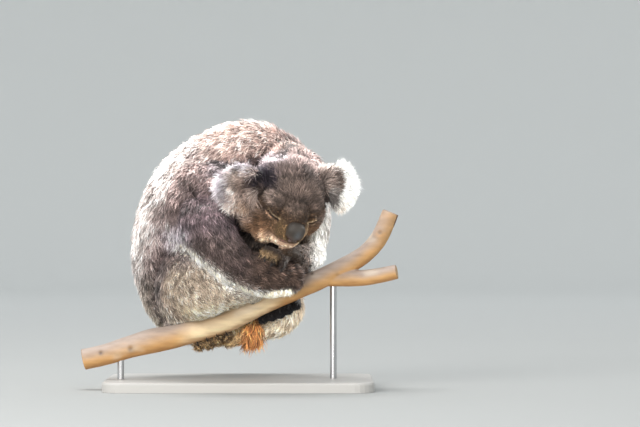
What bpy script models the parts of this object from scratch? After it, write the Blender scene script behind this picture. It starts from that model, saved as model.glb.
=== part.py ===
"""A koala asleep on a short length of gum branch, held up by a plain display stand.

Life size, in metres, +Z up.  The branch climbs towards +X, the animal sits on it with
its rump towards -X, its right side towards -Y, and its head bowed over its folded arms.
The origin is the middle of the base's underside.

Every body part is a closed solid out to the tips of the coat.  Shapes are lofts through
stations (centre, half-width, half-depth) and ellipsoids, fused where one part needs
several of them, then trimmed by their neighbours with a hair's gap.
"""

import math

import bmesh
import bpy
import numpy as np
from mathutils import Matrix, Vector

CM = 0.01
GAP = 0.0003            # clearance kept between neighbouring solids, m

# ------------------------------------------------------------------ stand and perch
BASE_LENGTH, BASE_WIDTH, BASE_THICK = 0.480, 0.290, 0.018
BASE_CORNER_R, BASE_EDGE_R = 0.035, 0.004
ROD_R = 0.006
ROD_X = (-0.212, 0.168)

# Centre line of the branch (x, y, z) and its radius, cm.
BRANCH = [
    (-27.9, -3.6, 5.3, 1.90), (-24.0, -3.6, 6.2, 1.92), (-19.8, -3.5, 7.5, 2.00),
    (-15.3, -3.4, 8.7, 2.25), (-10.8, -3.3, 9.6, 2.05), (-3.6, -3.2, 11.6, 1.92),
    (0.0, -3.1, 13.2, 1.90), (4.5, -2.8, 15.4, 1.88), (10.8, -1.9, 18.1, 1.85),
    (15.0, -1.3, 19.9, 1.80), (19.8, -0.9, 22.4, 1.66), (22.7, -0.7, 24.3, 1.60),
    (24.9, -0.6, 26.8, 1.55), (26.3, -0.5, 29.6, 1.50), (27.1, -0.4, 31.6, 1.46),
]
FORK = [
    (15.6, -1.2, 19.6, 1.30), (19.0, -1.5, 19.75, 1.45), (23.2, -2.1, 20.0, 1.42),
    (28.2, -2.9, 21.0, 1.30),
]

# ------------------------------------------------------------------ the animal, cm
# Spine tube from rump to neck: x, y, z, half-width across the body, half-depth.
TRUNK = [
    (-4.4, 3.6, 15.4, 8.4, 8.6), (-7.9, 3.2, 17.4, 9.8, 10.3), (-9.9, 2.8, 24.6, 10.2, 10.4),
    (-6.3, 2.6, 32.8, 10.2, 11.6), (0.6, 3.2, 37.4, 10.4, 11.4), (4.6, 4.2, 37.0, 10.0, 10.6),
]
CHEST = [(-3.0, 3.2, 20.0, 8.0, 8.6), (3.0, 3.6, 24.5, 8.2, 8.6), (7.2, 4.0, 30.6, 8.4, 8.2)]
SHOULDERS = [((9.8, 8.4, 35.4), (7.2, 7.4, 9.0)), ((-3.4, -3.4, 34.4), (8.2, 7.0, 8.2))]
NECK = [(7.2, 2.4, 37.2, 8.2, 8.4), (8.0, -2.0, 37.0, 7.6, 7.6), (8.4, -5.4, 35.8, 6.8, 6.8)]

ARM_R = [(-5.2, -3.6, 33.6, 5.2, 5.4), (-6.0, -7.4, 30.2, 5.4, 5.6), (-3.9, -9.6, 25.8, 5.2, 5.3),
         (-1.4, -10.2, 23.0, 4.7, 4.8)]
FOREARM_R = [(0.2, -10.2, 21.9, 4.1, 4.2), (4.4, -9.6, 20.4, 4.1, 4.1), (8.6, -7.4, 20.0, 3.3, 3.4)]
ARM_L = [(11.0, 8.8, 35.0, 5.4, 5.8), (11.9, 8.6, 29.5, 4.8, 5.0), (11.7, 6.8, 25.2, 4.3, 4.5)]
FOREARM_L = [(11.9, 6.6, 24.6, 4.2, 4.3), (11.2, 1.4, 23.2, 3.5, 3.7), (9.8, -3.6, 23.2, 2.6, 2.7)]

THIGH_R = [(-8.2, -2.4, 18.5, 7.2, 7.3), (-5.4, -5.6, 19.2, 7.4, 7.5), (-0.8, -7.6, 19.6, 4.9, 4.6)]
THIGH_L = [(-3.6, 8.6, 15.4, 7.2, 7.4), (1.6, 9.8, 14.6, 6.8, 6.9), (6.6, 9.2, 14.2, 5.6, 5.8)]
SHANK_R = [(-0.8, -7.0, 18.6, 4.0, 3.8), (2.4, -5.4, 17.4, 3.0, 2.6)]
SHANK_L = [(6.2, 8.2, 12.8, 4.4, 4.4), (2.6, 5.0, 11.0, 3.3, 3.3), (-1.6, 2.2, 9.8, 2.7, 2.7)]

# Head frame: where its middle is and which way the nose and the left ear point.
HEAD_AT = (8.25, -7.0, 33.95)
HEAD_FORWARD = (0.21, -0.72, -0.66)
HEAD_LEFT = (0.909, 0.394, -0.135)
# Ellipsoids in the head frame (forward, left, up), cm; a pair is mirrored left and right.
SKULL = [
    ((-0.6, 0.0, 0.9), (7.5, 7.2, 6.6), False),
    ((0.4, 3.6, -1.3), (5.2, 4.0, 4.8), True),      # cheeks
    ((-0.6, -3.9, -2.0), (5.4, 4.4, 5.7), False),   # the right cheek, pushed out by the arm
    ((5.2, 0.0, -1.2), (4.3, 3.9, 3.6), False),     # muzzle
    ((4.6, 0.0, 1.3), (3.9, 3.0, 2.8), False),      # bridge of the nose
    ((4.5, 0.0, -3.5), (4.0, 3.1, 2.4), False),     # chin
    ((3.0, 3.1, 2.2), (3.0, 2.6, 2.3), True),       # brows
]
EYE_AT, EYE_R = (5.35, 3.55, 0.45), 0.85
# Each ear is a dish: middle in the head frame, and the way its hollow faces for a left ear.
EAR_LEFT_AT, EAR_RIGHT_AT = (-0.9, 9.9, 3.5), (0.8, 10.3, 2.2)
EAR_FACING = (0.60, 0.49, 0.63)
EAR_SIZE = (1.9, 4.9, 4.9)      # half-thickness, half-width, half-height, with its hair
NOSE_AT = (8.9, 0.0, -0.55)
NOSE_SIZE = (1.25, 1.95, 2.30)  # half-depth, half-width, half-height

# Paws.  Angles run round the branch, degrees: 0 faces -Y, 90 is the top, 180 the far side, 270 below.
# A palm is (x along the branch, angle, distance from its axis, half-sizes along, out, round), cm.
# A digit is (x at the knuckle, x at the tip, angle at the knuckle, angle at the tip, radius).
HAND_R_PALM = (8.0, 72.0, 3.1, (4.1, 1.5, 2.6))
HAND_R_DIGITS = [(10.8, 9.2, 92, 250, 0.94), (9.2, 7.7, 92, 256, 1.00), (7.7, 6.2, 92, 256, 1.00),
                 (6.2, 4.7, 92, 252, 0.96), (4.8, 3.1, 88, 244, 0.90)]
FOOT_R_PALM = (1.2, 76.0, 2.9, (3.2, 1.4, 2.0))
FOOT_R_DIGITS = [(2.8, 2.7, 70, 26, 0.70), (2.8, 2.0, 92, 206, 0.72), (1.4, 0.9, 92, 204, 0.70),
                 (0.1, 0.0, 92, 196, 0.80), (-1.3, -1.0, 92, 176, 0.76)]
FOOT_L_PALM = (-5.0, 208.0, 3.3, (3.8, 1.5, 2.3))
FOOT_L_DIGITS = [(-3.0, -2.8, 200, 142, 0.74), (-7.6, -8.0, 222, 276, 0.80), (-6.0, -6.3, 222, 284, 0.90),
                 (-4.4, -4.5, 222, 286, 0.76), (-3.0, -3.0, 222, 282, 0.76)]
HAND_L_PALM = [(9.8, -4.6, 23.3, 2.1, 2.1), (8.6, -7.8, 24.1, 2.4, 1.5), (7.4, -9.8, 24.3, 2.2, 1.2)]
HAND_L_DIGITS = [((7.6, -10.6, 24.1), (6.1, -13.6, 22.9)), ((7.1, -10.6, 24.4), (5.1, -13.6, 23.7)),
                 ((6.7, -10.4, 24.5), (4.5, -13.0, 24.4)), ((6.6, -9.8, 24.4), (4.5, -11.9, 24.7)),
                 ((8.4, -10.3, 23.6), (7.7, -13.2, 22.0))]
DIGIT_L_R = 0.76
CLAW_LENGTH, CLAW_R = 1.7, 0.34

# Triangles wanted in each fused part before its neighbours are cut away.
BUDGET = {"trunk": 880, "head": 660, "hand_right": 330, "hand_left": 240,
          "foot_right": 210, "foot_left": 240}

# Colours, linear RGB.
GREY = (0.165, 0.135, 0.125)
PALE = (0.42, 0.36, 0.30)
DARK = (0.020, 0.018, 0.018)
BARK = (0.52, 0.36, 0.21)


# ------------------------------------------------------------------ tools
def material(name, colour, roughness, metallic=0.0):
    mat = bpy.data.materials.get(name) or bpy.data.materials.new(name)
    mat.use_nodes = True
    shader = mat.node_tree.nodes["Principled BSDF"]
    shader.inputs["Base Color"].default_value = (*colour, 1.0)
    shader.inputs["Roughness"].default_value = roughness
    shader.inputs["Metallic"].default_value = metallic
    return mat


def new_object(name, bm):
    mesh = bpy.data.meshes.new(name)
    bm.to_mesh(mesh)
    bm.free()
    obj = bpy.data.objects.new(name, mesh)
    bpy.context.scene.collection.objects.link(obj)
    return obj


def smooth_through(stations, steps):
    """Catmull-Rom curve through rows of numbers, so sizes blend as smoothly as places."""
    rows = [Vector(s) for s in stations]
    if len(rows) == 2:
        return [rows[0].lerp(rows[1], i / steps) for i in range(steps + 1)]
    ends = [rows[0] * 2 - rows[1]] + rows + [rows[-1] * 2 - rows[-2]]
    made = []
    for i in range(1, len(ends) - 2):
        a, b, c, d = ends[i - 1:i + 3]
        for k in range(steps):
            t = k / steps
            made.append(0.5 * ((2 * b) + (c - a) * t + (2 * a - 5 * b + 4 * c - d) * t * t
                               + (3 * b - a - 3 * c + d) * t ** 3))
    return made + [rows[-1]]


def loft(name, stations, sides=14, steps=2, across=(0, 1, 0), round_start=True, round_end=True, cap=3):
    """A closed tube through (x, y, z, half-width, half-depth) in cm.  Round ends are half ellipsoids."""
    rows = smooth_through([(*s[:4], s[4] if len(s) > 4 else s[3]) for s in stations], steps)
    centres = [Vector(r[:3]) for r in rows]
    tangents = []
    for i in range(len(rows)):
        a, b = centres[max(i - 1, 0)], centres[min(i + 1, len(rows) - 1)]
        tangents.append((b - a).normalized())
    sides_out, side = [], Vector(across)
    for tangent in tangents:                      # carried along, so that the tube never twists
        side = (side - tangent * tangent.dot(side)).normalized()
        sides_out.append(side)
    rings = []

    def ring(centre, i, wide, deep):
        side, up = sides_out[i], tangents[i].cross(sides_out[i])
        rings.append([(centre + side * (wide * math.cos(2 * math.pi * k / sides))
                       + up * (deep * math.sin(2 * math.pi * k / sides))) * CM for k in range(sides)])

    def ends(i, direction):
        size = min(rows[i][3], rows[i][4])
        found = [(centres[i] + tangents[i] * direction * size * math.sin(math.pi / 2 * k / cap),
                  math.cos(math.pi / 2 * k / cap)) for k in range(1, cap)]
        return found, centres[i] + tangents[i] * direction * size

    first, start_pole = ends(0, -1)
    last, end_pole = ends(len(rows) - 1, 1)
    if round_start:
        for centre, share in reversed(first):
            ring(centre, 0, rows[0][3] * share, rows[0][4] * share)
    for i, (r, centre) in enumerate(zip(rows, centres)):
        ring(centre, i, r[3], r[4])
    if round_end:
        for centre, share in last:
            ring(centre, -1, rows[-1][3] * share, rows[-1][4] * share)
    bm = bmesh.new()
    loops = [[bm.verts.new(p) for p in r] for r in rings]
    for a, b in zip(loops, loops[1:]):
        for k in range(sides):
            bm.faces.new((a[k], a[(k + 1) % sides], b[(k + 1) % sides], b[k]))
    tips = (start_pole if round_start else centres[0], end_pole if round_end else centres[-1])
    for loop, tip in ((loops[0], tips[0]), (loops[-1], tips[1])):
        pole = bm.verts.new(tip * CM)
        for k in range(sides):
            bm.faces.new((pole, loop[k], loop[(k + 1) % sides]))
    bmesh.ops.recalc_face_normals(bm, faces=bm.faces)
    return new_object(name, bm)


def ellipsoid(name, centre, sizes, turn=None, detail=3):
    bm = bmesh.new()
    bmesh.ops.create_icosphere(bm, subdivisions=detail, radius=1.0)
    shape = Matrix.Diagonal((*[s * CM for s in sizes], 1.0))
    where = Matrix.Translation(Vector(centre) * CM)
    bmesh.ops.transform(bm, matrix=where @ (turn.to_4x4() if turn else Matrix()) @ shape, verts=bm.verts)
    return new_object(name, bm)


def modify(obj, kind, **settings):
    modifier = obj.modifiers.new(kind.title(), kind)
    for key, value in settings.items():
        setattr(modifier, key, value)
    return modifier


def settle(obj):
    """Makes the modifiers' result the object's own mesh, less any stray island."""
    bpy.context.view_layer.update()
    done = bpy.data.meshes.new_from_object(obj.evaluated_get(bpy.context.evaluated_depsgraph_get()))
    obj.modifiers.clear()
    bm = bmesh.new()
    bm.from_mesh(done)
    bmesh.ops.remove_doubles(bm, verts=bm.verts, dist=2e-6)
    islands, seen = [], set()
    for start in bm.verts:
        if start in seen:
            continue
        seen.add(start)
        island, todo = [], [start]
        while todo:
            vert = todo.pop()
            island.append(vert)
            for edge in vert.link_edges:
                other = edge.other_vert(vert)
                if other not in seen:
                    seen.add(other)
                    todo.append(other)
        islands.append(island)
    islands.sort(key=len)
    for island in islands[:-1]:
        bmesh.ops.delete(bm, geom=island, context="VERTS")
    bmesh.ops.recalc_face_normals(bm, faces=bm.faces)
    bm.to_mesh(obj.data)
    bm.free()


def fuse(name, objects, voxel, smoothing=6):
    """Several overlapping closed shapes made one by a voxel remesh, smoothed and thinned."""
    bm = bmesh.new()
    for obj in objects:
        bm.from_mesh(obj.data)
        bpy.data.objects.remove(obj)
    fused = new_object(name, bm)
    modify(fused, "REMESH", mode="VOXEL", voxel_size=voxel * CM, adaptivity=0.0)
    modify(fused, "SMOOTH", factor=0.5, iterations=smoothing)
    settle(fused)
    triangles = sum(len(p.vertices) - 2 for p in fused.data.polygons)
    modify(fused, "DECIMATE", ratio=min(1.0, BUDGET.get(name, 400) / triangles))
    settle(fused)
    return fused


def near(a, b):
    """Whether two objects' boxes touch."""
    def box(obj):
        points = [v.co for v in obj.data.vertices]
        return [(min(p[k] for p in points), max(p[k] for p in points)) for k in range(3)]
    return all(x[0] < y[1] + GAP and y[0] < x[1] + GAP for x, y in zip(box(a), box(b)))


def trim(obj, *others):
    """Cuts the others out of obj, each grown by the gap."""
    for other in others:
        if not near(obj, other):
            continue
        bm = bmesh.new()
        bm.from_mesh(other.data)
        bm.normal_update()
        # Each vertex takes the move that shifts every face beside it out by the gap, sharp edges too.
        moves = []
        for vert in bm.verts:
            normals = np.array([face.normal for face in vert.link_faces])
            weights = np.array([face.calc_area() for face in vert.link_faces]) ** 0.25
            weighed = normals * (weights / weights.max())[:, None]
            move = np.linalg.solve(weighed.T @ weighed + 0.002 * np.eye(3),
                                   weighed.T @ (GAP * weights / weights.max()))
            size = np.linalg.norm(move)
            moves.append(Vector(move * min(1.0, 5 * GAP / max(size, 1e-9))))
        for vert, move in zip(bm.verts, moves):
            vert.co += move
        cutter = new_object("cutter", bm)
        modify(obj, "BOOLEAN", operation="DIFFERENCE", object=cutter, solver="EXACT")
        settle(obj)
        bpy.data.objects.remove(cutter)


def finish(obj, mat, smooth=True):
    obj.data.materials.clear()
    obj.data.materials.append(mat)
    if smooth:
        obj.data.shade_smooth()
        obj.data.set_sharp_from_angle(angle=math.radians(50))


# ------------------------------------------------------------------ frames
FORWARD = Vector(HEAD_FORWARD).normalized()
LEFT = (Vector(HEAD_LEFT) - FORWARD * FORWARD.dot(Vector(HEAD_LEFT))).normalized()
UP = FORWARD.cross(LEFT)
HEAD_TURN = Matrix((FORWARD, LEFT, UP)).transposed()


def on_head(point):
    """A point of the head frame, in the row frame, cm."""
    return Vector(HEAD_AT) + HEAD_TURN @ Vector(point)


BRANCH_LINE = smooth_through(BRANCH, 12)


def on_branch(x, angle, distance):
    """The point at this x along the branch, at an angle round it and a distance from its axis, cm."""
    after = next(i for i, r in enumerate(BRANCH_LINE) if r[0] >= x)
    a, b = BRANCH_LINE[after - 1], BRANCH_LINE[after]
    share = (x - a[0]) / (b[0] - a[0])
    centre = a.lerp(b, share)
    along = (Vector(b[:3]) - Vector(a[:3])).normalized()
    front = Vector((0, -1, 0))
    front = (front - along * along.dot(front)).normalized()
    top = front.cross(along)
    if top.z < 0:
        top = -top
    turn = math.radians(angle)
    out = front * math.cos(turn) + top * math.sin(turn)
    return Vector(centre[:3]) + out * distance, along, out, centre[3]


# ------------------------------------------------------------------ parts
def paw_on_branch(name, palm, digits, wrist, bare=0):
    """A palm against the branch, its digits bent round it, and a claw on each but the first bare ones."""
    x, angle, distance, sizes = palm
    centre, along, out, _ = on_branch(x, angle, distance)
    turn = Matrix((along, out, along.cross(out))).transposed()
    shapes = [ellipsoid("palm", centre, sizes, turn)]
    if wrist:
        shapes.append(loft("wrist", wrist))
    claws = []
    for n, (from_x, to_x, start, end, radius) in enumerate(digits, 1):
        steps = max(4, round(abs(end - start) / 16))
        path = []
        for k in range(steps + 1):
            share = k / steps
            at, bend = from_x + (to_x - from_x) * share, start + (end - start) * share
            thick = radius * (1.08 - 0.25 * share)
            point = on_branch(at, bend, on_branch(at, bend, 0)[3] + thick + 0.06)[0]
            path.append((*point, thick, thick))
        shapes.append(loft("digit", path, sides=10, steps=1, across=along))
        if n <= bare:
            continue
        turned = math.copysign(1, end - start)
        reach = on_branch(to_x, end, 0)[3]
        spread = math.degrees(CLAW_LENGTH / (reach + 0.9)) * turned
        line = []
        for k in range(4):
            share = k / 3
            point = on_branch(to_x, end + turned * 8 + spread * share, reach + 0.95 - 0.46 * share)[0]
            line.append((*point, CLAW_R * (1 - 0.80 * share), CLAW_R * 1.15 * (1 - 0.80 * share)))
        claws.append(loft(f"claw_{name}_{n - bare}", line, sides=5, steps=1, across=along, cap=1))
    return fuse(name, shapes, 0.26, 3), claws


def paw_resting(name, palm, digits):
    shapes = [loft("palm", palm, across=(1, 0, 0))]
    claws = []
    for n, (knuckle, tip) in enumerate(digits, 1):
        a, b = Vector(knuckle), Vector(tip)
        middle = a.lerp(b, 0.55) + Vector((0, 0, 0.5))
        shapes.append(loft("digit", [(*a, DIGIT_L_R * 1.1), (*middle, DIGIT_L_R), (*b, DIGIT_L_R * 0.85)],
                           sides=10))
        away = (b - middle).normalized()
        end = b + away * 1.9 + Vector((0, 0, -0.7))
        claws.append(loft(f"claw_{name}_{n}", [(*(b + away * 0.25), CLAW_R), (*(b + away * 1.1), CLAW_R * 0.66),
                                               (*end, CLAW_R * 0.20)], sides=5, steps=1, cap=1))
    return fuse(name, shapes, 0.26, 3), claws


def build_stand(branch):
    bm = bmesh.new()
    bmesh.ops.create_cube(bm, size=1.0)
    bmesh.ops.scale(bm, vec=(BASE_LENGTH, BASE_WIDTH, BASE_THICK), verts=bm.verts)
    bmesh.ops.translate(bm, vec=(0, 0, BASE_THICK / 2), verts=bm.verts)
    upright = [e for e in bm.edges if abs(e.verts[0].co.z - e.verts[1].co.z) > BASE_THICK / 2]
    bmesh.ops.bevel(bm, geom=upright, offset=BASE_CORNER_R, segments=6, affect="EDGES", profile=0.5)
    rim = [e for e in bm.edges if all(abs(v.co.z - BASE_THICK) < 1e-6 for v in e.verts)]
    bmesh.ops.bevel(bm, geom=rim, offset=BASE_EDGE_R, segments=2, affect="EDGES", profile=0.5)
    base = new_object("stand_base", bm)
    rods = []
    for n, x in enumerate(ROD_X, 1):
        centre = on_branch(x / CM, 0, 0)[0] * CM
        bm = bmesh.new()
        low, high = BASE_THICK + GAP, centre.z
        bmesh.ops.create_cone(bm, cap_ends=True, segments=20, radius1=ROD_R, radius2=ROD_R, depth=high - low)
        bmesh.ops.translate(bm, vec=(centre.x, centre.y, (high + low) / 2), verts=bm.verts)
        rod = new_object(f"stand_rod_{n}", bm)
        trim(rod, branch)
        rods.append(rod)
    return base, rods


def main():
    for obj in list(bpy.data.objects):
        bpy.data.objects.remove(obj)

    main_limb = loft("main_limb", BRANCH, sides=12, steps=1, round_start=False, round_end=False)
    side_limb = loft("side_limb", FORK, sides=10, steps=2, round_end=False)
    modify(main_limb, "BOOLEAN", operation="UNION", object=side_limb, solver="EXACT")
    settle(main_limb)
    bpy.data.objects.remove(side_limb)
    branch = main_limb
    branch.name = "perch_branch"
    base, rods = build_stand(branch)

    hand_r, claws_hr = paw_on_branch("hand_right", HAND_R_PALM, HAND_R_DIGITS,
                                     [(*FOREARM_R[-1][:3], 2.8, 3.0), (8.4, -5.6, 20.0, 2.7, 2.4)])
    foot_r, claws_fr = paw_on_branch("foot_right", FOOT_R_PALM, FOOT_R_DIGITS, None, bare=1)
    foot_l, claws_fl = paw_on_branch("foot_left", FOOT_L_PALM, FOOT_L_DIGITS, None, bare=1)
    hand_l, claws_hl = paw_resting("hand_left", HAND_L_PALM, HAND_L_DIGITS)
    claws = claws_hr + claws_fr + claws_fl + claws_hl

    skull = []
    for centre, sizes, paired in SKULL:
        for side in ((1, -1) if paired else (1,)):
            skull.append(ellipsoid("bone", on_head((centre[0], centre[1] * side, centre[2])), sizes, HEAD_TURN))
    head = fuse("head", skull, 0.42, 5)
    nose = ellipsoid("nose", on_head(NOSE_AT), NOSE_SIZE, HEAD_TURN, detail=2)
    eyes, ears = [], []
    for name, side, at in (("left", 1, EAR_LEFT_AT), ("right", -1, EAR_RIGHT_AT)):
        eyes.append(ellipsoid(f"eye_{name}", on_head((EYE_AT[0], EYE_AT[1] * side, EYE_AT[2])),
                              (EYE_R,) * 3, detail=2))
        facing = Vector((EAR_FACING[0], EAR_FACING[1] * side, EAR_FACING[2])).normalized()
        up = (Vector((0, 0, 1)) - facing * facing.z).normalized()
        turn = HEAD_TURN @ Matrix((facing, up.cross(facing), up)).transposed()
        ears.append(loft(f"ear_{name}", [(*(on_head((at[0], at[1] * side, at[2]))
                                            + turn @ Vector((0, EAR_SIZE[1] * k, 0))),
                                          EAR_SIZE[0] * math.sqrt(1 - k * k), EAR_SIZE[2] * math.sqrt(1 - k * k))
                                         for k in (-0.97, -0.85, -0.5, 0.0, 0.5, 0.85, 0.97)],
                         sides=12, steps=1, across=turn @ Vector((1, 0, 0)), round_start=False, round_end=False))

    trunk = fuse("trunk", [loft("spine", TRUNK, sides=32, steps=4), loft("chest", CHEST, sides=28)]
                 + [ellipsoid("shoulder", *s) for s in SHOULDERS], 0.6, 8)
    neck = loft("neck", NECK, sides=13, across=(1, 0, 0))
    thigh_r, thigh_l = loft("thigh_right", THIGH_R, sides=13), loft("thigh_left", THIGH_L, sides=13)
    arm_r, arm_l = loft("upper_arm_right", ARM_R), loft("upper_arm_left", ARM_L)
    forearm_r, forearm_l = loft("forearm_right", FOREARM_R), loft("forearm_left", FOREARM_L, across=(1, 0, 0))
    shank_r, shank_l = loft("shank_right", SHANK_R, sides=12), loft("shank_left", SHANK_L, sides=12)

    # Along the paws the belly keeps clear of the branch by a digit's thickness.
    room = loft("room", [(*on_branch(x, 0, 0)[0], on_branch(x, 0, 0)[3] + 2.35) for x in (-7.6, -3.0, 3.0, 8.0, 11.0)],
                steps=1, cap=2)
    trim(trunk, room)
    bpy.data.objects.remove(room)

    # Each part gives way to those before it.
    order = [branch, *eyes, foot_r, foot_l, head, nose, *ears, trunk, neck, arm_r, arm_l, forearm_r, forearm_l,
             thigh_r, thigh_l, shank_r, shank_l, hand_r, hand_l, *claws]
    for i, part in enumerate(order[1:], 1):
        trim(part, *order[:i])

    fur, pale = material("grey_fur", GREY, 0.9), material("pale_fur", PALE, 0.9)
    horn, leather = material("claw_horn", DARK, 0.35), material("nose_leather", (0.045, 0.042, 0.044), 0.5)
    for part in order[1:]:
        finish(part, fur)
    for part in ears:
        finish(part, pale)
    for part in claws:
        finish(part, horn)
    finish(nose, leather)
    for part in eyes:
        finish(part, material("eye_gloss", (0.03, 0.018, 0.012), 0.15))
    finish(branch, material("gum_bark", BARK, 0.7))
    finish(base, material("stand_paint", (0.55, 0.53, 0.50), 0.45))
    for rod in rods:
        finish(rod, material("stand_steel", (0.55, 0.55, 0.56), 0.3, 1.0))


main()
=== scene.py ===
"""Looks of the koala asleep on its branch: one skin, its coat in joined tufts, nose, eyes, claws, perch and stand.

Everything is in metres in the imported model's own frame.  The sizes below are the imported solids' sizes, in
centimetres; those solids reach the tips of the coat, so the skin is the same shapes less the coat's depth.
"""

import math

import bmesh
import bpy
import numpy as np
from mathutils import Matrix, Vector
from mathutils.bvhtree import BVHTree


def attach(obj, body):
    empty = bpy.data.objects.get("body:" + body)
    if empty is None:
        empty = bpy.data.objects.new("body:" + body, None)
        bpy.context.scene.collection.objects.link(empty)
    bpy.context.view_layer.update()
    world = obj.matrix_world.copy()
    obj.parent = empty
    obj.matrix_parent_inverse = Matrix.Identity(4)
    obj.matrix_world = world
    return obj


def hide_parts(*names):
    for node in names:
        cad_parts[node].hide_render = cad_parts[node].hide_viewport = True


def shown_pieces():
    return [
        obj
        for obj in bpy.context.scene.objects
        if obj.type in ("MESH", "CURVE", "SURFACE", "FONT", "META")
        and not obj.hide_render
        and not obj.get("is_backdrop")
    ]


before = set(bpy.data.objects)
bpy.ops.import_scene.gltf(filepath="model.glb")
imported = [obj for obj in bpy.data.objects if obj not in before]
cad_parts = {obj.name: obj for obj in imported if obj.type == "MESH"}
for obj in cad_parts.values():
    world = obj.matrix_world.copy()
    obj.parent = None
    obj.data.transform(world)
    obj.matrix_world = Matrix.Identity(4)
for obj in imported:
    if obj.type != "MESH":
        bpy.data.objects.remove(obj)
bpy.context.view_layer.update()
CM = 0.01
DOWN = np.array([0.0, 0.0, -1.0])

# ------------------------------------------------------------------ sizes shared with the solids
BRANCH = [
    (-27.9, -3.6, 5.3, 1.90), (-24.0, -3.6, 6.2, 1.92), (-19.8, -3.5, 7.5, 2.00),
    (-15.3, -3.4, 8.7, 2.25), (-10.8, -3.3, 9.6, 2.05), (-3.6, -3.2, 11.6, 1.92),
    (0.0, -3.1, 13.2, 1.90), (4.5, -2.8, 15.4, 1.88), (10.8, -1.9, 18.1, 1.85),
    (15.0, -1.3, 19.9, 1.80), (19.8, -0.9, 22.4, 1.66), (22.7, -0.7, 24.3, 1.60),
    (24.9, -0.6, 26.8, 1.55), (26.3, -0.5, 29.6, 1.50), (27.1, -0.4, 31.6, 1.46),
]
FORK = [
    (15.6, -1.2, 19.6, 1.30), (19.0, -1.5, 19.75, 1.45), (23.2, -2.1, 20.0, 1.42),
    (28.2, -2.9, 21.0, 1.30),
]
TRUNK = [
    (-4.4, 3.6, 15.4, 8.4, 8.6), (-7.9, 3.2, 17.4, 9.8, 10.3), (-9.9, 2.8, 24.6, 10.2, 10.4),
    (-6.3, 2.6, 32.8, 10.2, 11.6), (0.6, 3.2, 37.4, 10.4, 11.4), (4.6, 4.2, 37.0, 10.0, 10.6),
]
CHEST = [(-3.0, 3.2, 20.0, 8.0, 8.6), (3.0, 3.6, 24.5, 8.2, 8.6), (7.2, 4.0, 30.6, 8.4, 8.2)]
SHOULDERS = [((9.8, 8.4, 35.4), (7.2, 7.4, 9.0)), ((-3.4, -3.4, 34.4), (8.2, 7.0, 8.2))]
NECK = [(7.2, 2.4, 37.2, 8.2, 8.4), (8.0, -2.0, 37.0, 7.6, 7.6), (8.4, -5.4, 35.8, 6.8, 6.8)]
ARM_R = [(-5.2, -3.6, 33.6, 5.2, 5.4), (-6.0, -7.4, 30.2, 5.4, 5.6), (-3.9, -9.6, 25.8, 5.2, 5.3),
         (-1.4, -10.2, 23.0, 4.7, 4.8)]
FOREARM_R = [(0.2, -10.2, 21.9, 4.1, 4.2), (4.4, -9.6, 20.4, 4.1, 4.1), (8.6, -7.4, 20.0, 3.3, 3.4)]
ARM_L = [(11.0, 8.8, 35.0, 5.4, 5.8), (11.9, 8.6, 29.5, 4.8, 5.0), (11.7, 6.8, 25.2, 4.3, 4.5)]
FOREARM_L = [(11.9, 6.6, 24.6, 4.2, 4.3), (11.2, 1.4, 23.2, 3.5, 3.7), (9.8, -3.6, 23.2, 2.6, 2.7)]
THIGH_R = [(-8.2, -2.4, 18.5, 7.2, 7.3), (-5.4, -5.6, 19.2, 7.4, 7.5), (-0.8, -7.6, 19.6, 4.9, 4.6)]
THIGH_L = [(-3.6, 8.6, 15.4, 7.2, 7.4), (1.6, 9.8, 14.6, 6.8, 6.9), (6.6, 9.2, 14.2, 5.6, 5.8)]
SHANK_R = [(-0.8, -7.0, 18.6, 4.0, 3.8), (2.4, -5.4, 17.4, 3.0, 2.6)]
SHANK_L = [(6.2, 8.2, 12.8, 4.4, 4.4), (2.6, 5.0, 11.0, 3.3, 3.3), (-1.6, 2.2, 9.8, 2.7, 2.7)]
HEAD_AT = (8.25, -7.0, 33.95)
HEAD_FORWARD = (0.21, -0.72, -0.66)
HEAD_LEFT = (0.909, 0.394, -0.135)
EYE_AT, EYE_R = (5.35, 3.55, 0.45), 0.85
EAR_LEFT_AT, EAR_RIGHT_AT = (-0.9, 9.9, 3.5), (0.8, 10.3, 2.2)
EAR_FACING = (0.60, 0.49, 0.63)
NOSE_AT = (8.55, 0.0, -0.55)
NOSE_SIZE = (1.25, 1.95, 2.30)
HAND_R_PALM = (8.0, 72.0, 3.1, (4.1, 1.5, 2.6))
HAND_R_DIGITS = [(10.8, 9.2, 92, 250, 0.94), (9.2, 7.7, 92, 256, 1.00), (7.7, 6.2, 92, 256, 1.00),
                 (6.2, 4.7, 92, 252, 0.96), (4.8, 3.1, 88, 244, 0.90)]
FOOT_R_PALM = (1.2, 76.0, 2.9, (3.2, 1.4, 2.0))
FOOT_R_DIGITS = [(2.8, 2.7, 70, 26, 0.70), (2.8, 2.0, 92, 206, 0.72), (1.4, 0.9, 92, 204, 0.70),
                 (0.1, 0.0, 92, 196, 0.80), (-1.3, -1.0, 92, 176, 0.76)]
FOOT_L_PALM = (-5.0, 208.0, 3.3, (3.8, 1.5, 2.3))
FOOT_L_DIGITS = [(-3.0, -2.8, 200, 142, 0.74), (-7.6, -8.0, 222, 276, 0.80), (-6.0, -6.3, 222, 284, 0.90),
                 (-4.4, -4.5, 222, 286, 0.76), (-3.0, -3.0, 222, 282, 0.76)]
HAND_L_PALM = [(9.8, -4.6, 23.3, 2.1, 2.1), (8.6, -7.8, 24.1, 2.4, 1.5), (7.4, -9.8, 24.3, 2.2, 1.2)]
HAND_L_DIGITS = [((7.6, -10.6, 24.1), (6.1, -13.6, 22.9)), ((7.1, -10.6, 24.4), (5.1, -13.6, 23.7)),
                 ((6.7, -10.4, 24.5), (4.5, -13.0, 24.4)), ((6.6, -9.8, 24.4), (4.5, -11.9, 24.7)),
                 ((8.4, -10.3, 23.6), (7.7, -13.2, 22.0))]
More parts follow.
